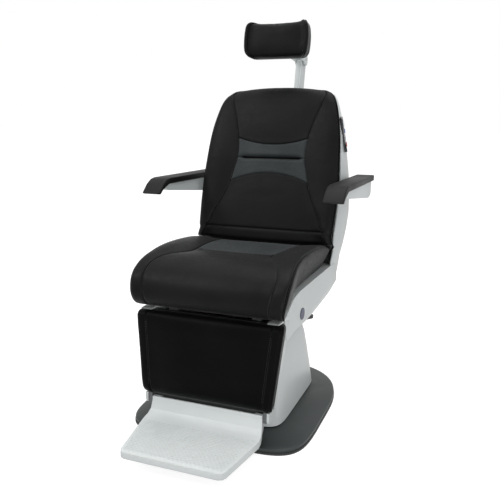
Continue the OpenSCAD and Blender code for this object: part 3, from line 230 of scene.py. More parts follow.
def makeMetal(name, colours, roughness, stretch, spacing):
    # machined or drawn metal: fine lines along one axis
    mat, tree, skin = newMaterial(name)
    place = addNode(tree, "ShaderNodeTexCoord").outputs["Object"]
    lined = addNode(tree, "ShaderNodeMapping", {"Scale": stretch}, {"Vector": place}).outputs["Vector"]
    lines = noise(tree, lined, spacing, 3.0)
    dress(tree, skin, toned(tree, lines, colours), mapped(tree, lines, 0.3, 0.7, *roughness),
          bumped(tree, lines, machined["bump"], machined["lineDepth"]))
    skin.inputs["Metallic"].default_value = 1.0
    return mat


plywood = {
    "grain": 6.0,          # mm between the lines of the grain, which run along Y
    "stretch": (1.0, 0.06, 1.0),
    "colours": ("#a98356", "#cfae80"),
    "bump": 0.2,
    "depth": 0.4,          # mm
    "roughness": 0.62,
}


def makePlywood(name):
    # birch ply, bare: pale bands of grain along the sheet
    spec = plywood
    mat, tree, skin = newMaterial(name)
    place = addNode(tree, "ShaderNodeTexCoord").outputs["Object"]
    flow = addNode(tree, "ShaderNodeMapping", {"Scale": spec["stretch"]}, {"Vector": place}).outputs["Vector"]
    grain = noise(tree, flow, spec["grain"], 5.0, Distortion=0.6)
    tree.links.new(toned(tree, mapped(tree, grain, 0.3, 0.7), spec["colours"]), skin.inputs["Base Color"])
    tree.links.new(bumped(tree, grain, spec["bump"], spec["depth"]), skin.inputs["Normal"])
    skin.inputs["Roughness"].default_value = spec["roughness"]
    return mat


blackHide = makeLeatherette("blackLeatherette", leatherette["black"], 0.1)
# a darker copy of the black hide: painted shade on the leg pad and on the flanks of seat and back
paintedShadeHide = makeLeatherette("blackLeatherettePaintedShade", leatherette["paintedShadeBlack"], 0.05)
greyHide = makeLeatherette("greyLeatherette", leatherette["grey"], 0.12)
thread = makeMoulded("blackPolyesterThread", ("#2b2b2c", "#3a3a3b"), (0.5, 0.65), texture=0.4, bump=0.3)
coverAbs = makeMoulded("lightGreyAbsSatin", ("#b9bebe", "#bfc3c3"), (0.34, 0.44), texture=0.9, bump=0.08)
footEnamel = makeMoulded("lightGreyEnamelOnCastAluminium", ("#c0c5c5", "#c6caca"), (0.32, 0.42),
                         texture=1.1, bump=0.1)
armEnamel = makeMoulded("lightGreyPowderCoat", ("#bcc2c3", "#c3c8c8"), (0.36, 0.46), texture=0.8, bump=0.14)
plateCoat = makeMoulded("charcoalTexturedPowderCoat", ("#262b2b", "#2f3534"), (0.4, 0.52), texture=0.9,
                        bump=0.28, shine=0.35)
sealRubber = makeMoulded("blackExtrudedRubber", ("#141414", "#1b1b1b"), (0.55, 0.7), texture=1.0, bump=0.2)
armSkin = makeMoulded("darkIntegralSkinPolyurethane", ("#0d0d0d", "#131313"), (0.5, 0.62), texture=1.2,
                      bump=0.3, shine=0.16)
blackAbs = makeMoulded("blackAbsFineTexture", ("#131314", "#1a1a1b"), (0.4, 0.55), texture=0.8, bump=0.2)
trimAbs = makeMoulded("darkGreyAbs", ("#4c4f4f", "#565959"), (0.4, 0.5), texture=0.9, bump=0.12)
framePaint = makeMoulded("darkFramePaint", ("#3a3d3e", "#434647"), (0.45, 0.6), texture=1.4, bump=0.25)
steelGround = makeMetal("groundSteel", ("#8e9193", "#a8abad"), (0.22, 0.34), (1.0, 14.0, 14.0), 1.2)
steelDrawn = makeMetal("drawnAluminiumTube", ("#b4b7b9", "#c9cccd"), (0.28, 0.4), (10.0, 10.0, 0.5), 1.5)
ballChrome = makeMetal("polishedBearingSteel", ("#cfd2d4", "#dddfe0"), (0.06, 0.12), (1.0, 1.0, 1.0), 8)
panPlywood = makePlywood("birchPlywoodBare")
bezelGloss = makeMoulded("blackGlossPolycarbonate", ("#0d0e12", "#121319"), (0.08, 0.14), texture=3,
                         bump=0.02, coat=0.5)
keyWhite = makeMoulded("whiteSiliconeKey", ("#dfe5ea", "#e7ecef"), (0.4, 0.5), texture=0.9, bump=0.1)
keyBlue = makeMoulded("blueSiliconeKey", ("#2f4f8f", "#36579a"), (0.4, 0.5), texture=0.9, bump=0.1)
keyRed = makeMoulded("redSiliconeKey", ("#b02a26", "#bb332e"), (0.4, 0.5), texture=0.9, bump=0.1)
capBlue = makeMoulded("darkBlueGlossCap", ("#161c40", "#1a2149"), (0.3, 0.4), texture=2, bump=0.03,
                      shine=0.25)
print("materials made")


# plain helpers
def toObject(name, mesh, materials, body):
    obj = bpy.data.objects.new(name, mesh)
    bpy.context.scene.collection.objects.link(obj)
    for mat in materials:
        mesh.materials.append(mat)
    mesh.polygons.foreach_set("use_smooth", [True] * len(mesh.polygons))
    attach(obj, body)
    return obj


def applyModifiers(obj):
    bpy.context.view_layer.update()
    graph = bpy.context.evaluated_depsgraph_get()
    mesh = bpy.data.meshes.new_from_object(obj.evaluated_get(graph))
    old = obj.data
    obj.modifiers.clear()
    obj.data = mesh
    bpy.data.meshes.remove(old)


def shadeByAngle(mesh, degrees):
    mesh.polygons.foreach_set("use_smooth", [True] * len(mesh.polygons))
    bm = bmesh.new()
    bm.from_mesh(mesh)
    limit = math.radians(degrees)
    for edge in bm.edges:
        edge.smooth = len(edge.link_faces) == 2 and edge.calc_face_angle(0) < limit
    bm.to_mesh(mesh)
    bm.free()


rolledEdge = {
    "weld": 0.02,          # mm within which the CAD mesh's points are one
    "flat": 1.0,           # degrees under which its faces are one
    "segments": 3,
    "from": 32,            # degrees from which an edge is rolled over
    "shade": 38,           # and from which it stays a line
}


def roundedCopy(node, name, material, slot, radius):
    # the CAD node's own shape with its hard edges rolled over, as a moulding or casting has them
    source = frame["nodes"][node]
    bm = bmesh.new()
    bm.from_mesh(source.data)
    bmesh.ops.remove_doubles(bm, verts=bm.verts, dist=rolledEdge["weld"] * mm)
    bmesh.ops.dissolve_limit(bm, angle_limit=math.radians(rolledEdge["flat"]), verts=bm.verts, edges=bm.edges)
    mesh = bpy.data.meshes.new(name)
    bm.to_mesh(mesh)
    bm.free()
    obj = toObject(name, mesh, [material], source["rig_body"])
    bevel = obj.modifiers.new("edge", "BEVEL")
    bevel.width, bevel.segments = radius * mm, rolledEdge["segments"]
    bevel.limit_method, bevel.angle_limit = "ANGLE", math.radians(rolledEdge["from"])
    bevel.harden_normals = False
    applyModifiers(obj)
    shadeByAngle(obj.data, rolledEdge["shade"])
    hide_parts(node)


def arcAlong(points):
    return np.concatenate([[0], np.cumsum(np.linalg.norm(np.diff(points, axis=0), axis=1))])


def curveThrough(points, shares):
    # smooth curve through points of any dimension, at shares of its chord length
    pts = np.array(points, float)
    chord = arcAlong(pts)
    tangents = np.gradient(pts, chord, axis=0)
    at = np.clip(np.array(shares), 0, 1) * chord[-1]
    k = np.clip(np.searchsorted(chord, at, side="right") - 1, 0, len(pts) - 2)
    h = (chord[k + 1] - chord[k])[:, None]
    t = ((at - chord[k]) / h[:, 0])[:, None]
    return ((2 * t ** 3 - 3 * t ** 2 + 1) * pts[k] + (t ** 3 - 2 * t ** 2 + t) * h * tangents[k]
            + (-2 * t ** 3 + 3 * t ** 2) * pts[k + 1] + (t ** 3 - t ** 2) * h * tangents[k + 1])


# cushions
# every cushion is a sheet of ribs across and lines along; seams lie exactly on its lines
sheet = {
    "nearSeam": [1.2, 2.6, 4.6, 8.0],      # mm from a seam, where the sheet is finest
    "rowStep": 7.0,        # mm between rows elsewhere
    "rollAt": 9.0,         # mm from a seam to the crest of the foam's roll
    "rollWidth": 6.5,
    "leastShift": 0.2,     # mm under which a row counts as straight
    "rimColumns": 6,       # columns held at each rim while the foam swells
    "sink": 0.25,          # share of the swell's limit by which the sheet starts lower
    "foldStart": 6.0,      # mm from the side seams where a fold starts
    "foldEase": 22.0,      # and over which it reaches its depth
}


def spacedBetween(start, end, step, seamAtStart, seamAtEnd):
    near = sheet["nearSeam"]
    length = end - start
    reach = near[-1] * 2.5
    inner = near if length > reach else [o * length / reach for o in near]
    low = [start + o for o in inner] if seamAtStart else []
    high = [end - o for o in reversed(inner)] if seamAtEnd else []
    a = low[-1] if low else start
    b = high[0] if high else end
    count = max(1, round((b - a) / step))
    return low, [a + (b - a) * i / count for i in range(1, count)], high


def columnPlaces(stops, counts):
    # stops are arc lengths of the seams and ends; each stretch gets the same count in every row
    near = sheet["nearSeam"]
    places, kinds = [stops[0]], [0]
    for k in range(len(stops) - 1):
        a, b = stops[k], stops[k + 1]
        seamA, seamB = k > 0, k < len(stops) - 2
        reach = near[-1] * (seamA + seamB) * 1.25
        squeeze = min(1.0, (b - a) / reach) if reach else 1.0
        low = [a + o * squeeze for o in near] if seamA else []
        high = [b - o * squeeze for o in reversed(near)] if seamB else []
        start, end = (low[-1] if low else a), (high[0] if high else b)
        inner = [start + (end - start) * i / (counts[k] + 1) for i in range(1, counts[k] + 1)]
        places += low + inner + high + [b]
        kinds += [0] * (len(low) + len(inner) + len(high)) + [1]
    return places, kinds


def seamProfile(distance, spec):
    # a sewn seam pulls the skin in; foam rolls up a little on both sides of it
    return (-spec["seamDepth"] * np.exp(-(distance / spec["seamWidth"]) ** 2)
            + spec["roll"] * np.exp(-((distance - sheet["rollAt"]) / sheet["rollWidth"]) ** 2))


def gridNormals(grid):
    along = np.gradient(grid, axis=0)
    across = np.gradient(grid, axis=1)
    n = np.cross(across, along)
    return n / np.maximum(np.linalg.norm(n, axis=2, keepdims=True), 1e-9)


def meshFromGrid(name, grid):
    rows, cols = grid.shape[:2]
    verts = [tuple(p) for p in (grid.reshape(-1, 3) * mm)]
    faces = [(i * cols + j, i * cols + j + 1, (i + 1) * cols + j + 1, (i + 1) * cols + j)
             for i in range(rows - 1) for j in range(cols - 1)]
    faces += [(i * cols + cols - 1, i * cols, (i + 1) * cols, (i + 1) * cols + cols - 1)
              for i in range(rows - 1)]
    faces += [tuple(range(cols - 1, -1, -1)), tuple((rows - 1) * cols + j for j in range(cols))]
    mesh = bpy.data.meshes.new(name)
    mesh.from_pydata(verts, [], faces)
    bm = bmesh.new()
    bm.from_mesh(mesh)
    bmesh.ops.recalc_face_normals(bm, faces=bm.faces)
    bm.to_mesh(mesh)
    bm.free()
    return mesh


skinCloth = {
    "frames": 18,
    "held": 7.0,           # mm from a seam within which the skin is held
    "free": 14.0,          # and beyond which it is free
    "quality": 4,
    "mass": 0.3,
    "damping": 2.0,
    "stretch": 18,
    "shear": 8,
    "bending": 0.6,
    "neighbours": 5,       # points of the swollen skin that move one point of the sheet
}


def treeOf(points):
    tree = kdtree.KDTree(len(points))
    for i, p in enumerate(points):
        tree.insert(Vector(p), i)
    tree.balance()
    return tree


def simulatedSwell(name, grid, pinPoints, voxel, pressure, cap):
    # cloth under pressure over the foam shape, held at its seams; gives how far each point of the sheet moves
    spec = skinCloth
    mesh = meshFromGrid(name + "Foam", grid)
    obj = bpy.data.objects.new(name + "Foam", mesh)
    bpy.context.scene.collection.objects.link(obj)
    remesh = obj.modifiers.new("voxels", "REMESH")
    remesh.mode, remesh.voxel_size = "VOXEL", voxel * mm
    applyModifiers(obj)
    rest = np.array([v.co for v in obj.data.vertices])
    held = treeOf([Vector(p) * mm for p in pinPoints])
    group = obj.vertex_groups.new(name="held")
    for i, p in enumerate(rest):
        gap = held.find(Vector(p))[2] / mm
        if gap < spec["free"]:
            ease = (spec["free"] - gap) / (spec["free"] - spec["held"])
            group.add([i], 1.0 if gap < spec["held"] else ease, "REPLACE")
    cloth = obj.modifiers.new("skin", "CLOTH")
    s = cloth.settings
    s.quality, s.mass, s.air_damping = spec["quality"], spec["mass"], spec["damping"]
    s.tension_stiffness = s.compression_stiffness = spec["stretch"]
    s.shear_stiffness, s.bending_stiffness = spec["shear"], spec["bending"]
    s.use_pressure, s.uniform_pressure_force = True, pressure
    s.effector_weights.gravity = 0
    s.vertex_group_mass = "held"
    cloth.point_cache.frame_start, cloth.point_cache.frame_end = 1, spec["frames"]
    scene = bpy.context.scene
    for f in range(1, spec["frames"] + 1):
        scene.frame_set(f)
    graph = bpy.context.evaluated_depsgraph_get()
    done = obj.evaluated_get(graph).to_mesh()
    swollen = np.array([v.co for v in done.vertices])
    scene.frame_set(1)
    move = (swollen - rest) / mm
    length = np.linalg.norm(move, axis=1, keepdims=True)
    move *= np.minimum(1, cap / np.maximum(length, 1e-6))
    tree = treeOf(rest)
    out = np.zeros_like(grid)
    for i, j in np.ndindex(grid.shape[:2]):
        near = tree.find_n(Vector(grid[i, j] * mm), spec["neighbours"])
        weights = np.array([1 / (d + 0.002) ** 2 for _, _, d in near])
        out[i, j] = (move[[k for _, k, _ in near]] * weights[:, None]).sum(0) / weights.sum()
    bpy.data.objects.remove(obj)
    print(name, "swelled by", round(float(np.abs(out).max()), 1), "mm")
    return out


def arcTo(grid, axis):
    step = np.linalg.norm(np.diff(grid, axis=axis), axis=2)
    zero = np.zeros((grid.shape[0], 1)) if axis == 1 else np.zeros((1, grid.shape[1]))
    return np.concatenate([zero, np.cumsum(step, axis=axis)], axis=axis)


stitch = {
    "length": 3.6,         # mm
    "gap": 2.0,
    "thick": 0.75,
    "start": 3.0,          # mm from the seam line's end to the first stitch
    "sides": 5,
    "rise": 0.2,           # share of its thickness that its middle stands out
    "sunk": 0.4,           # and that its ends go under
}


def stitches(name, lines, body):
    # lines: (points, normals) in mm; each stitch is a small sunk capsule of thread
    spec, n = stitch, stitch["sides"]
    verts, faces = [], []
    for points, normals in lines:
        pts, nrm = np.array(points), np.array(normals)
        arc = arcAlong(pts)
        at = spec["start"]
        while at + spec["length"] < arc[-1]:
            ends = [np.array([np.interp(a, arc, pts[:, k]) for k in range(3)]) for a in (at,
                                                                                         at + spec["length"])]
            up = np.array([np.interp(at, arc, nrm[:, k]) for k in range(3)])
            up /= max(np.linalg.norm(up), 1e-9)
            along = (ends[1] - ends[0]) / max(np.linalg.norm(ends[1] - ends[0]), 1e-9)
            side = np.cross(along, up)
            base = len(verts)
            verts.append(tuple((ends[0] - up * spec["thick"] * spec["sunk"]) * mm))
            for share in (0.25, 0.75):
                centre = ends[0] + (ends[1] - ends[0]) * share + up * spec["thick"] * spec["rise"]
                for a in range(n):
                    turn = 2 * math.pi * a / n
                    around = (side * math.cos(turn) + up * math.sin(turn)) * spec["thick"] / 2
                    verts.append(tuple((centre + around) * mm))
            verts.append(tuple((ends[1] - up * spec["thick"] * spec["sunk"]) * mm))
            for a in range(n):
                b = (a + 1) % n
                near, far = base + 1, base + 1 + n
                faces.append((base, near + a, near + b))
                faces.append((near + a, far + a, far + b, near + b))
                faces.append((far + n, far + b, far + a))
            at += spec["length"] + spec["gap"]
    mesh = bpy.data.meshes.new(name)
    mesh.from_pydata(verts, [], faces)
    toObject(name, mesh, [thread], body)


def offsetLine(grid, normals, j, offset, rows):
    # a line that runs beside column j at a distance across the sheet
    pts, nrm = [], []
    for i in rows:
        arc = arcAlong(grid[i])
        at = arc[j] + offset
        pts.append([np.interp(at, arc, grid[i][:, k]) for k in range(3)])
        nrm.append([np.interp(at, arc, normals[i][:, k]) for k in range(3)])
    return pts, nrm


ribTop = {
    "shoulder": 0.93,      # half width share of the bolster's outside
    "shoulderDish": 0.35,
    "seamLimit": 0.9,      # no side seam lies further out
    "height": 0.985,       # thickness share at the side seam and inside it
    "dishes": [(1.0, 0.8), (0.66, 1.0), (0.33, 1.05), (0.0, 1.08)],
    # share of the way out to the seam, of the dish
}


def ribSection(edge, seam, dish):
    # rib across a cushion, from foot to top: half width share, thickness share
    seam = min(seam, ribTop["seamLimit"])
    shoulder = ((ribTop["shoulder"] + seam) / 2, 1 - dish * ribTop["shoulderDish"])
    return edge + [shoulder] + [(seam * out, ribTop["height"] - dish * deep) for out,
                                deep in ribTop["dishes"]]


# in all four, lengths are mm; swell holds the simulation's voxel, its pressure and the most a point may move
seatCushion = {
    "flankShadeHide": paintedShadeHide,      # painted shade: the darker hide outside its outer seams
    "hip": (238.0, 460.3), "length": 546.0, "height": 118.0, "halfWidth": 260.0,
    # shares back from the recline axis and up, foot then top; then width, seam and dish
    "ribs": [
        (0.072, 0.02, 0.07, 0.2, 0.8, 0.62, 0), (0.084, 0, 0.068, 0.385, 0.9, 0.62, 0),
        (0.104, 0, 0.086, 0.555, 0.94, 0.62, 0), (0.16, 0, 0.132, 0.69, 0.955, 0.615, 0.03),
        (0.23, 0, 0.225, 0.8, 0.955, 0.61, 0.08), (0.32, 0, 0.326, 0.875, 0.955, 0.6, 0.12),
        (0.42, 0, 0.427, 0.92, 0.955, 0.585, 0.14), (0.49, 0, 0.51, 0.945, 0.957, 0.565, 0.15),
        (0.564, 0, 0.592, 0.959, 0.96, 0.545, 0.16), (0.628, 0, 0.67, 0.959, 0.96, 0.55, 0.16),
        (0.683, 0, 0.747, 0.934, 0.965, 0.62, 0.11), (0.711, 0, 0.811, 0.887, 0.972, 0.71, 0.05),
        (0.738, -0.02, 0.875, 0.82, 0.985, 0.775, 0.015), (0.766, -0.07, 0.938, 0.7, 0.995, 0.81, 0),
        (0.793, -0.13, 0.985, 0.557, 1, 0.82, 0), (0.815, -0.205, 1.02, 0.38, 0.995, 0.815, 0),
        (0.833, -0.27, 1.04, 0.167, 0.985, 0.81, 0), (0.852, -0.335, 1.048, -0.02, 0.97, 0.81, 0),
        (0.872, -0.4, 1.038, -0.2, 0.955, 0.81, 0), (0.888, -0.435, 1.011, -0.345, 0.94, 0.81, 0),
        (0.901, -0.45, 0.967, -0.435, 0.915, 0.81, 0)],
    "edge": [(0.87, 0), (0.9, 0.06), (0.92, 0.2), (0.945, 0.4), (0.97, 0.6), (0.993, 0.78), (1, 0.9),
             (0.983, 0.965), (0.95, 0.995)],
    "crest": 0.592,        # share where the grey insert ends in front
    "crestBow": -12.0,     # mm that its front edge bows forward in the middle
    "crestReach": 110.0,   # mm over which the rows beside it bow along
    "seamFade": 20.0,      # mm over which seams run out at the cushion's ends
    "counts": (9, 4, 12),  # columns outside, on and inside the bolsters
    "insertRows": (None, 0),      # cross seams that the grey insert lies between
    # side seams from left to right, and mm from each to its lines of thread; then end rows without thread
    "stitching": [(1, (3.2,)), (-2, (-3.2,)), (0, (3.2, -3.2)), (-1, (3.2, -3.2))],
    "stitchRows": (8, 4),
    "seamDepth": 3.2, "seamWidth": 1.9, "roll": 0.6,
    "swell": {"voxel": 9.0, "pressure": 3.0, "cap": 5.0},
}
backCushion = {
    # the flanks take the painted shade hide here too
    "flankShadeHide": paintedShadeHide,
    "hip": (238.0, 400.0), "length": 700.0, "halfWidth": 265.0, "dish": 0.04,
    "flatFrom": 0.93,      # share of the height above which the front is no longer dished
    "flatEase": 0.12,      # and over which the dish fades
    "crown": 5.0,          # mm that the top edge rises in the middle
    "cornerDrop": 13.0,    # mm that it falls at the seam ends
    "cornerLimit": 1.6,    # times that drop is its most
    "crownFrom": 0.86,     # share of the height where the crown starts
    "crownEase": 0.11,
    "crownWidth": 0.66,    # share of the half width at the seam ends
    "counts": (9, 4, 12), "insertRows": (1, 3), "stitching": [(1, (-3.2,)), (-2, (3.2,))],
    "stitchRows": (10, 8),
    "ribs": [
        (-0.023, 0.106, -0.036, 0.12, 0.84, 0.93), (0.003, 0.131, -0.041, 0.15, 0.9, 0.92),
        (0.034, 0.164, -0.077, 0.195, 0.985, 0.91), (0.067, 0.2, -0.117, 0.214, 0.99, 0.9),
        (0.093, 0.231, -0.117, 0.238, 0.973, 0.89), (0.106, 0.253, -0.113, 0.259, 0.965, 0.87),
        (0.111, 0.263, -0.109, 0.269, 0.975, 0.86), (0.117, 0.274, -0.107, 0.279, 0.977, 0.84),
        (0.136, 0.324, -0.09, 0.329, 0.985, 0.78), (0.15, 0.371, -0.073, 0.379, 0.992, 0.71),
        (0.16, 0.429, -0.051, 0.436, 0.997, 0.63), (0.164, 0.479, -0.034, 0.486, 0.998, 0.575),
        (0.167, 0.514, -0.023, 0.521, 0.995, 0.55), (0.171, 0.564, -0.009, 0.571, 0.985, 0.525),
        (0.177, 0.597, 0.001, 0.604, 0.978, 0.505), (0.183, 0.619, 0.007, 0.626, 0.974, 0.5),
        (0.187, 0.637, 0.013, 0.644, 0.97, 0.5), (0.197, 0.679, 0.027, 0.686, 0.962, 0.51),
        (0.209, 0.719, 0.04, 0.726, 0.952, 0.53), (0.223, 0.771, 0.059, 0.779, 0.93, 0.58),
        (0.234, 0.829, 0.083, 0.836, 0.898, 0.65), (0.24, 0.879, 0.106, 0.886, 0.862, 0.735),
        (0.242, 0.917, 0.127, 0.929, 0.824, 0.81), (0.243, 0.94, 0.149, 0.959, 0.78, 0.87),
        (0.241, 0.951, 0.171, 0.976, 0.728, 0.9), (0.237, 0.957, 0.192, 0.979, 0.66, 0.9),
        (0.23, 0.96, 0.212, 0.97, 0.57, 0.9)],
    "edge": [(0.8, 0), (0.86, 0.07), (0.885, 0.25), (0.91, 0.5), (0.93, 0.74), (0.99, 0.775), (1, 0.84),
             (0.985, 0.92), (0.94, 0.98)],
    # heights of the cross seams at the side seams, and how far each bows up in the middle, mm
    "cross": [(588.0, 0.0), (753.0, 33.0), (838.0, 1.0), (907.0, -23.0)],
    "bowReach": 120.0,     # mm above the last one where the rows are straight again
    "seamDepth": 3.2, "seamWidth": 1.9, "roll": 0.6,
    "seamFade": 60.0,
    "fold": {"row": 2, "depth": 15.0, "width": 5.5},     # the pulled fold across the grey insert; its faces also get the black hide as painted shade
    "swell": {"voxel": 9.0, "pressure": 3.0, "cap": 5.0},
}
# rim of a flat pad, from foot up: half width share, thickness share
padEdge = [(0.95, 0), (0.975, 0.07), (0.98, 0.22), (0.985, 0.4), (0.99, 0.56), (1, 0.72), (0.998, 0.86),
           (0.985, 0.95), (0.95, 0.99)]
# ribs of a pad: share of its length or half height, thickness share, half width share
legCushion = {
    "knee": (-257.2, 396.4), "lean": 6.6, "drop": 4.0, "proud": 0.3, "length": 264.7, "thick": 55.0,
    # the whole leg pad wears the darker hide, as painted shade
    "widths": (488.0, 430.0), "hide": paintedShadeHide, "counts": (9, 5, 14),
    "stitching": [(1, (3.2, -3.2)), (-2, (3.2, -3.2))], "stitchRows": (6, 6),
    "ribs": [(0, 0.6, 0.965), (-0.015, 0.82, 0.985), (-0.045, 0.95, 0.997), (-0.12, 1, 1), (-0.3, 1, 1),
             (-0.5, 1, 1), (-0.7, 1, 1), (-0.87, 0.99, 1), (-0.94, 0.93, 0.998), (-0.98, 0.8, 0.988),
             (-1, 0.6, 0.965)],
    "edge": padEdge,
    "seamFade": 12.0,
    "seam": 0.86, "ribDish": 0.0, "seamDepth": 2.8, "seamWidth": 1.8, "roll": 0.5,
    "swell": {"voxel": 8.0, "pressure": 3.0, "cap": 3.5},
}
headCushion = {
    "pivot": (376.0, 1240.0), "lean": 8.0, "back": 28.3, "up": 10.0, "widths": (243.0, 243.0),
    "height": 133.0, "thick": 62.0, "dish": 13.5, "seam": 0.86, "ribDish": 0.16, "counts": (7, 3, 9),
    "stitching": [], "stitchRows": (0, 0),
    "ribs": [(-1, 0.22, 0.74), (-0.97, 0.55, 0.84), (-0.9, 0.78, 0.91), (-0.75, 0.93, 0.965),
             (-0.5, 0.985, 0.99), (-0.2, 0.98, 1), (0.1, 0.975, 1), (0.4, 0.98, 0.985), (0.65, 0.985, 0.96),
             (0.82, 0.93, 0.92), (0.93, 0.8, 0.87), (0.98, 0.58, 0.8), (1, 0.25, 0.7)],
    "edge": padEdge,
    "seamFade": 8.0,
    "seamDepth": 2.4, "seamWidth": 2.2, "roll": 0.6,
    "swell": {"voxel": 5.0, "pressure": 3.0, "cap": 3.0},
}


def tiltAbout(points, pivot, degrees):
    # turn of the leg and head frames: about X, lower end or front forward
    c, s = math.cos(math.radians(-degrees)), math.sin(math.radians(-degrees))
    out = np.array(points, float)
    y, z = out[..., 1].copy(), out[..., 2].copy()
    out[..., 1] = pivot[0] + y * c - z * s
    out[..., 2] = pivot[1] + y * s + z * c
    return out


def ribPoint(values, edge, dish):
    # values: foot y, foot z, top y, top z, half width, seam share, dish
    fy, fz, ty, tz, half, seam = values[:6]
    section = ribSection(edge, seam, dish)
    return np.array([(p[0] * half, fy + (ty - fy) * p[1], fz + (tz - fz) * p[1]) for p in section])


def rowPlaces(seams, total, step):
    stops = [0.0] + list(seams) + [total]
    out, marks = [0.0], [0]
    for k in range(len(stops) - 1):
        low, inner, high = spacedBetween(stops[k], stops[k + 1], step, k > 0, k < len(stops) - 2)
        out += low + inner + high + [stops[k + 1]]
        marks += [0] * (len(low) + len(inner) + len(high)) + [1 if k < len(stops) - 2 else 0]
    return out, marks


def levelRow(at):
    return 0.0


def cushionGrid(table, spec, rowSeams, bowAt):
    # table columns: foot y, foot z, top y, top z, half width, seam, dish; rows run from foot to foot of a rib
    arcs, chord = arcAlong(table[:, 2:4]), arcAlong(table)
    total = arcs[-1]
    edge = spec["edge"]
    places, rowMarks = rowPlaces(rowSeams, total, sheet["rowStep"])

    def valuesAt(at):
        return curveThrough(table, [np.interp(at, arcs, chord) / chord[-1]])[0]

    half = []
    for at in places:
        # straight rib first, then each point is moved along the cushion where the row bows
        values = valuesAt(at)
        base = ribPoint(values, edge, values[6])
        dist = arcAlong(base)
        stops = [dist[0], dist[len(edge) - 2], dist[len(edge) + 1], dist[-1]]
        where, kinds = columnPlaces(stops, spec["counts"])
        row = curveThrough(base, np.array(where) / dist[-1])
        seamX = base[len(edge) + 1][0]
        for j, p in enumerate(row):
            shift = bowAt(at) * max(0.0, 1 - (p[0] / seamX) ** 2)
            if abs(shift) > sheet["leastShift"]:
                # same x on the moved rib
                moved = ribPoint(valuesAt(min(max(at + shift, 0), total)), edge, values[6])
                fine = curveThrough(moved, np.linspace(0.3, 1, 90))
                order = np.argsort(fine[:, 0])
                row[j] = [p[0]] + [np.interp(p[0], fine[order, 0], fine[order, k]) for k in (1, 2)]
        half.append(row)
    half = np.array(half)
    mirror = half[:, ::-1].copy()
    mirror[..., 0] *= -1
    marks = kinds[:-1] + [0] + kinds[::-1][1:]
    seamCols = [j for j, m in enumerate(marks) if m]
    seamRows = [i for i, m in enumerate(rowMarks) if m]
    return np.concatenate([half, mirror[:, 1:]], axis=1), seamCols, seamRows


def outwardNormals(grid):
    normals = gridNormals(grid)
    row, col = grid.shape[0] // 2, grid.shape[1] // 2
    facing = ((grid[row, col] - grid.reshape(-1, 3).mean(0)) * normals[row, col]).sum()
    return -normals if facing < 0 else normals


def seamRelief(grid, seamCols, seamRows, spec):
    # how far seams, rolls and the fold move the sheet along its normals
    left, right = seamCols[1], seamCols[-2]
    across, along = arcTo(grid, 1), arcTo(grid, 0)
    relief = np.zeros(grid.shape[:2])
    for j in seamCols:
        relief += seamProfile(np.abs(across - across[:, j:j + 1]), spec)
    between = np.zeros(grid.shape[1])
    between[left:right + 1] = 1
    for i in seamRows:
        relief += seamProfile(np.abs(along - along[i:i + 1]), spec) * between
    fold = spec.get("fold")
    if fold:
        aside = np.minimum(across - across[:, left:left + 1], across[:, right:right + 1] - across)
        reach = np.clip((aside - sheet["foldStart"]) / sheet["foldEase"], 0, 1)
        at = seamRows[fold["row"]]
        relief -= fold["depth"] * np.exp(-((along - along[at:at + 1]) / fold["width"]) ** 2) * reach * between
    return relief * np.clip(np.minimum(along, along[-1:] - along) / spec["seamFade"], 0, 1)


def heldPoints(grid, seamCols, seamRows):
    # points that the swelling skin keeps: on seams and on both rims
    rows, cols = grid.shape[:2]
    rim = [*range(sheet["rimColumns"]), *range(cols - sheet["rimColumns"], cols)]
    held = [grid[i, j] for j in seamCols for i in range(0, rows, 2)]
    held += [grid[i, j] for i in seamRows for j in range(seamCols[1], seamCols[-2] + 1, 2)]
    return held + [grid[i, j] for i in range(rows) for j in rim]


def paintHides(mesh, grid, seamCols, seamRows, spec):
    # 0 is the plain hide, 1 the grey insert, 2 the flanks in painted shade; the black hide runs along the
    # fold as painted shade
    rows, cols = grid.shape[:2]
    left, right = seamCols[1], seamCols[-2]
    insert, fold = spec.get("insertRows"), spec.get("fold")
    if insert:
        start = 0 if insert[0] is None else seamRows[insert[0]]
        end = seamRows[insert[1]]
    for face in mesh.polygons:
        i, j = divmod(min(face.vertices), cols)
        # painted shade: the flanks outside the outer seams get the darker hide
        if j < seamCols[0] or j >= seamCols[-1]:
            face.material_index = 2
        if insert and face.index < (rows - 1) * (cols - 1) and start <= i < end and left <= j < right:
            face.material_index = 1
        # painted shade: the fold across the grey insert gets the black hide
        if fold and abs(i + 0.5 - seamRows[fold["row"]]) < 3 and left + 4 < j < right - 5:
            face.material_index = 0


def makeCushion(name, node, body, table, spec, rowSeams=(), bowAt=levelRow, place=None):
    grid, seamCols, seamRows = cushionGrid(table, spec, rowSeams, bowAt)
    if place:
        grid = place(grid)
    normals = outwardNormals(grid)
    relief = seamRelief(grid, seamCols, seamRows, spec)
    swell = simulatedSwell(name, grid, heldPoints(grid, seamCols, seamRows), **spec["swell"])
    grid = grid + swell - normals * spec["swell"]["cap"] * sheet["sink"]
    grid = grid + normals * relief[..., None]
    mesh = meshFromGrid(name, grid)
    hide = spec.get("hide", blackHide)
    # the third slot holds the painted shade hide of the flanks
    obj = toObject(name, mesh, [hide, greyHide, spec.get("flankShadeHide", hide)], body)
    paintHides(mesh, grid, seamCols, seamRows, spec)
    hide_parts(node)
    first, last = spec["stitchRows"]
    rows = range(first, grid.shape[0] - last)
    lines = [offsetLine(grid, normals, seamCols[k], offset, rows) for k,
             offsets in spec["stitching"] for offset in offsets]
    if lines:
        stitches(name + "Stitching", lines, body)


def flatTable(c, height):
    # a pad in its own frame: ribs stacked in Z, thickness towards -Y
    wide, narrow = c["widths"]
    return np.array([(0.0, r[0] * height, -c["thick"] * r[1], r[0] * height,
                      (wide + (narrow - wide) * -r[0]) / 2 * r[2],
                      c["seam"], c["ribDish"]) for r in c["ribs"]], float)


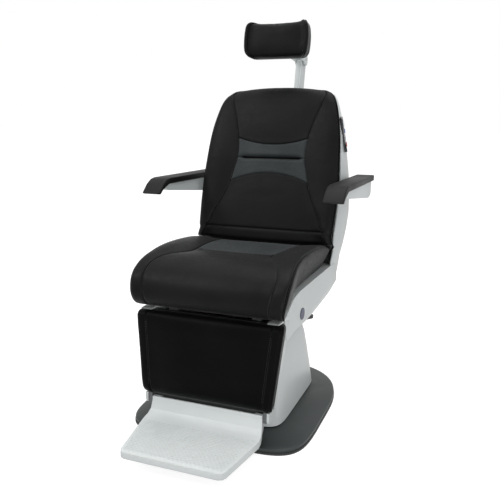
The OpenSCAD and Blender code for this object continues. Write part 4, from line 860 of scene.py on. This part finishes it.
# seat
def seatTable():
    c = seatCushion
    return np.array([(c["hip"][0] - r[0] * c["length"], c["hip"][1] + r[1] * c["height"],
                      c["hip"][0] - r[2] * c["length"], c["hip"][1] + r[3] * c["height"],
                      c["halfWidth"] * r[4], r[5], r[6]) for r in c["ribs"]], float)


seatRibs = seatTable()
seatTops = seatRibs[:, 2:4]
crestAt = seatCushion["hip"][0] - seatCushion["crest"] * seatCushion["length"]
crestArc = float(np.interp(-crestAt, -seatTops[:, 0], arcAlong(seatTops)))


def seatBow(at):
    return seatCushion["crestBow"] * math.exp(-((at - crestArc) / seatCushion["crestReach"]) ** 2)


makeCushion("seatCushion", "seat_cushion", "seat", seatRibs, seatCushion, [crestArc], seatBow)
print("seat cushion made")


# back
def backTable():
    c = backCushion

    def dishAt(top):
        return c["dish"] * min(1.0, max(0.0, (c["flatFrom"] - top) / c["flatEase"]))

    return np.array([(c["hip"][0] + r[0] * c["length"], c["hip"][1] + r[1] * c["length"],
                      c["hip"][0] + r[2] * c["length"], c["hip"][1] + r[3] * c["length"],
                      c["halfWidth"] * r[4], r[5], dishAt(r[3])) for r in c["ribs"]], float)


backRibs = backTable()
backTops = backRibs[:, 2:4]
backCross = [(float(np.interp(z, backTops[:, 1], arcAlong(backTops))), bow) for z,
             bow in backCushion["cross"]]


def backBow(at):
    knots = [(backCross[0][0], 0.0)] + backCross[1:] + [(backCross[-1][0] + backCushion["bowReach"], 0.0)]
    return float(np.interp(at, [k[0] for k in knots], [k[1] for k in knots]))


def crownBack(g):
    # the top edge is one convex curve from side to side
    c = backCushion
    g = g.copy()
    start = c["hip"][1] + c["crownFrom"] * c["length"]
    near = np.clip((g[..., 2] - start) / (c["crownEase"] * c["length"]), 0, 1)
    aside = (g[..., 0] / (c["crownWidth"] * c["halfWidth"])) ** 2
    g[..., 2] += near ** 2 * (c["crown"] - c["cornerDrop"] * np.minimum(aside, c["cornerLimit"]))
    return g


makeCushion("backCushion", "back_cushion", "back", backRibs, backCushion, [a for a, _ in backCross],
            backBow, crownBack)
print("back cushion made")


# leg rest
def placeLeg(g):
    return tiltAbout(g - np.array([0, legCushion["proud"], legCushion["drop"]]), legCushion["knee"],
                     legCushion["lean"])


makeCushion("legCushion", "legrest_cushion", "seat", flatTable(legCushion, legCushion["length"]),
            legCushion, place=placeLeg)
print("leg cushion made")


# head
def placeHead(g):
    # its top edge is dished in the middle
    head = headCushion
    g = g.copy()
    z = g[..., 2] / (head["height"] / 2)
    g[..., 2] -= head["dish"] * np.maximum(z, 0) * (1 - (2 * g[..., 0] / head["widths"][0]) ** 2)
    return tiltAbout(g + np.array([0, -head["back"], head["up"]]), head["pivot"], head["lean"])


makeCushion("headCushion", "headrest_cushion", "head_rest",
            flatTable(headCushion, headCushion["height"] / 2), headCushion,
            place=placeHead)
print("head cushion made")


# covers and hard parts
rounded = {
    # node: piece name, material, slot, edge radius in mm
    "side_panel_left": ("sidePanelLeft", coverAbs, "cover_grey", 3.0),
    "side_panel_right": ("sidePanelRight", coverAbs, "cover_grey", 3.0),
    "outer_shroud": ("columnShroud", coverAbs, "cover_grey", 1.6),
    "back_shell": ("backShell", coverAbs, "cover_grey", 1.4),
    "under_cover": ("underCover", coverAbs, "cover_grey", 1.2),
    "post_housing": ("postHousing", coverAbs, "cover_grey", 2.0),
    "footrest": ("footPlate", footEnamel, "foot_grey", 0.5),
    "legrest_trim": ("legTrim", trimAbs, "trim_grey", 1.5),
    "arm_bracket_left": ("armBracketLeft", armEnamel, "arm_paint", 3.0),
    "arm_bracket_right": ("armBracketRight", armEnamel, "arm_paint", 3.0),
    "arm_pad_left": ("armPadLeft", armSkin, "arm_rubber", 4.0),
    "arm_pad_right": ("armPadRight", armSkin, "arm_rubber", 4.0),
    "base_cover": ("floorCover", plateCoat, "base_charcoal", 1.0),
    "swivel_lock_lever": ("lockLever", blackAbs, "black_plastic", 1.5),
    "headrest_post": ("headPost", armEnamel, "arm_paint", 2.0),
    "headrest_link": ("headLink", armEnamel, "arm_paint", 2.0),
    "headrest_shell": ("headPlate", blackAbs, "black_plastic", 1.5),
    "keypad_left": ("keypadLeft", bezelGloss, "keypad_gloss", 0.25),
    "keypad_right": ("keypadRight", bezelGloss, "keypad_gloss", 0.25),
    "power_inlet": ("mainsInlet", blackAbs, "black_plastic", 1.0),
}
for node, values in rounded.items():
    roundedCopy(node, *values)
print("covers made")

plainFinish = {
    "floor_plate": framePaint, "base_edge_seal": sealRubber, "swivel_ring_lower": steelGround,
    "bearing_balls": ballChrome,
    "spindle": steelGround, "swivel_ring_upper": steelGround, "turntable_plate": framePaint,
    "column_lower": steelDrawn,
    "lift_actuator": blackAbs, "inner_shroud": blackAbs, "column_middle": steelDrawn,
    "lift_tube_middle": steelGround,
    "column_upper": steelDrawn, "lift_ram": ballChrome, "carriage_head": framePaint,
    "tilt_actuator": blackAbs,
    "tilt_shaft": steelGround, "tilt_rod": steelGround, "recline_rod": steelGround, "seat_frame": framePaint,
    "seat_pan": panPlywood, "panel_caps": capBlue, "recline_actuator": blackAbs, "seat_pins": steelGround,
    "back_frame": framePaint, "arm_pins": steelGround, "post_pin": steelGround, "headrest_pin": steelGround,
}
for side in ("left", "right"):
    for i in range(1, 5):
        plainFinish[f"key_{side}_{i}"] = keyRed if i == 1 else keyBlue if i == 3 else keyWhite
for node, material in plainFinish.items():
    data = frame["nodes"][node].data
    data.materials.clear()
    data.materials.append(material)
print("finishes set")


# floor and room
def seenDirectly(tree):
    # 1 where the eye, a mirror or a window sees the surface, 0 where it only lights others
    path = addNode(tree, "ShaderNodeLightPath")
    direct = addNode(tree, "ShaderNodeMath", {"operation": "MAXIMUM"},
                     {0: path.outputs["Is Camera Ray"], 1: path.outputs["Is Glossy Ray"]})
    return addNode(tree, "ShaderNodeMath", {"operation": "MAXIMUM"},
                   {0: direct.outputs[0], 1: path.outputs["Is Transmission Ray"]}).outputs[0]


def addFloor():
    mesh = bpy.data.meshes.new("studioFloor")
    r = studio["floorReach"]
    mesh.from_pydata([(-r, -r, 0), (r, -r, 0), (r, r, 0), (-r, r, 0)], [], [(0, 1, 2, 3)])
    floor = bpy.data.objects.new("studioFloor", mesh)
    bpy.context.scene.collection.objects.link(floor)
    mat, tree, skin = newMaterial("whitePaperFloor")
    skin.inputs["Base Color"].default_value = hexToLinear(studio["floor"])
    skin.inputs["Roughness"].default_value = 0.9
    skin.inputs["Specular IOR Level"].default_value = 0.1
    glow = addNode(tree, "ShaderNodeMath", {"operation": "MULTIPLY", 1: studio["floorGlow"]},
                   {0: seenDirectly(tree)})
    lift = addNode(tree, "ShaderNodeEmission", {"Color": (1, 1, 1, 1)}, {"Strength": glow.outputs[0]})
    both = addNode(tree, "ShaderNodeAddShader", {}, {0: skin.outputs[0], 1: lift.outputs[0]})
    tree.links.new(both.outputs[0], tree.nodes["Material Output"].inputs["Surface"])
    mesh.materials.append(mat)


def addRoom():
    world = bpy.data.worlds.new("studioRoom")
    bpy.context.scene.world = world
    world.use_nodes = True
    tree = world.node_tree
    way = addNode(tree, "ShaderNodeSeparateXYZ", {},
                  {0: addNode(tree, "ShaderNodeTexCoord").outputs["Generated"]})
    room = mapped(tree, way.outputs["Z"], -0.1, 0.9, studio["roomLow"], studio["roomHigh"])
    strength = addNode(tree, "ShaderNodeMix", {"B": 1.0}, {"Factor": seenDirectly(tree), "A": room})
    ground = tree.nodes["Background"]
    ground.inputs["Color"].default_value = (1, 1, 1, 1)
    tree.links.new(strength.outputs[0], ground.inputs["Strength"])


addCamera()
addLights()
addFloor()
addRoom()
bpy.context.scene.view_settings.view_transform = "Standard"
print("studio made")
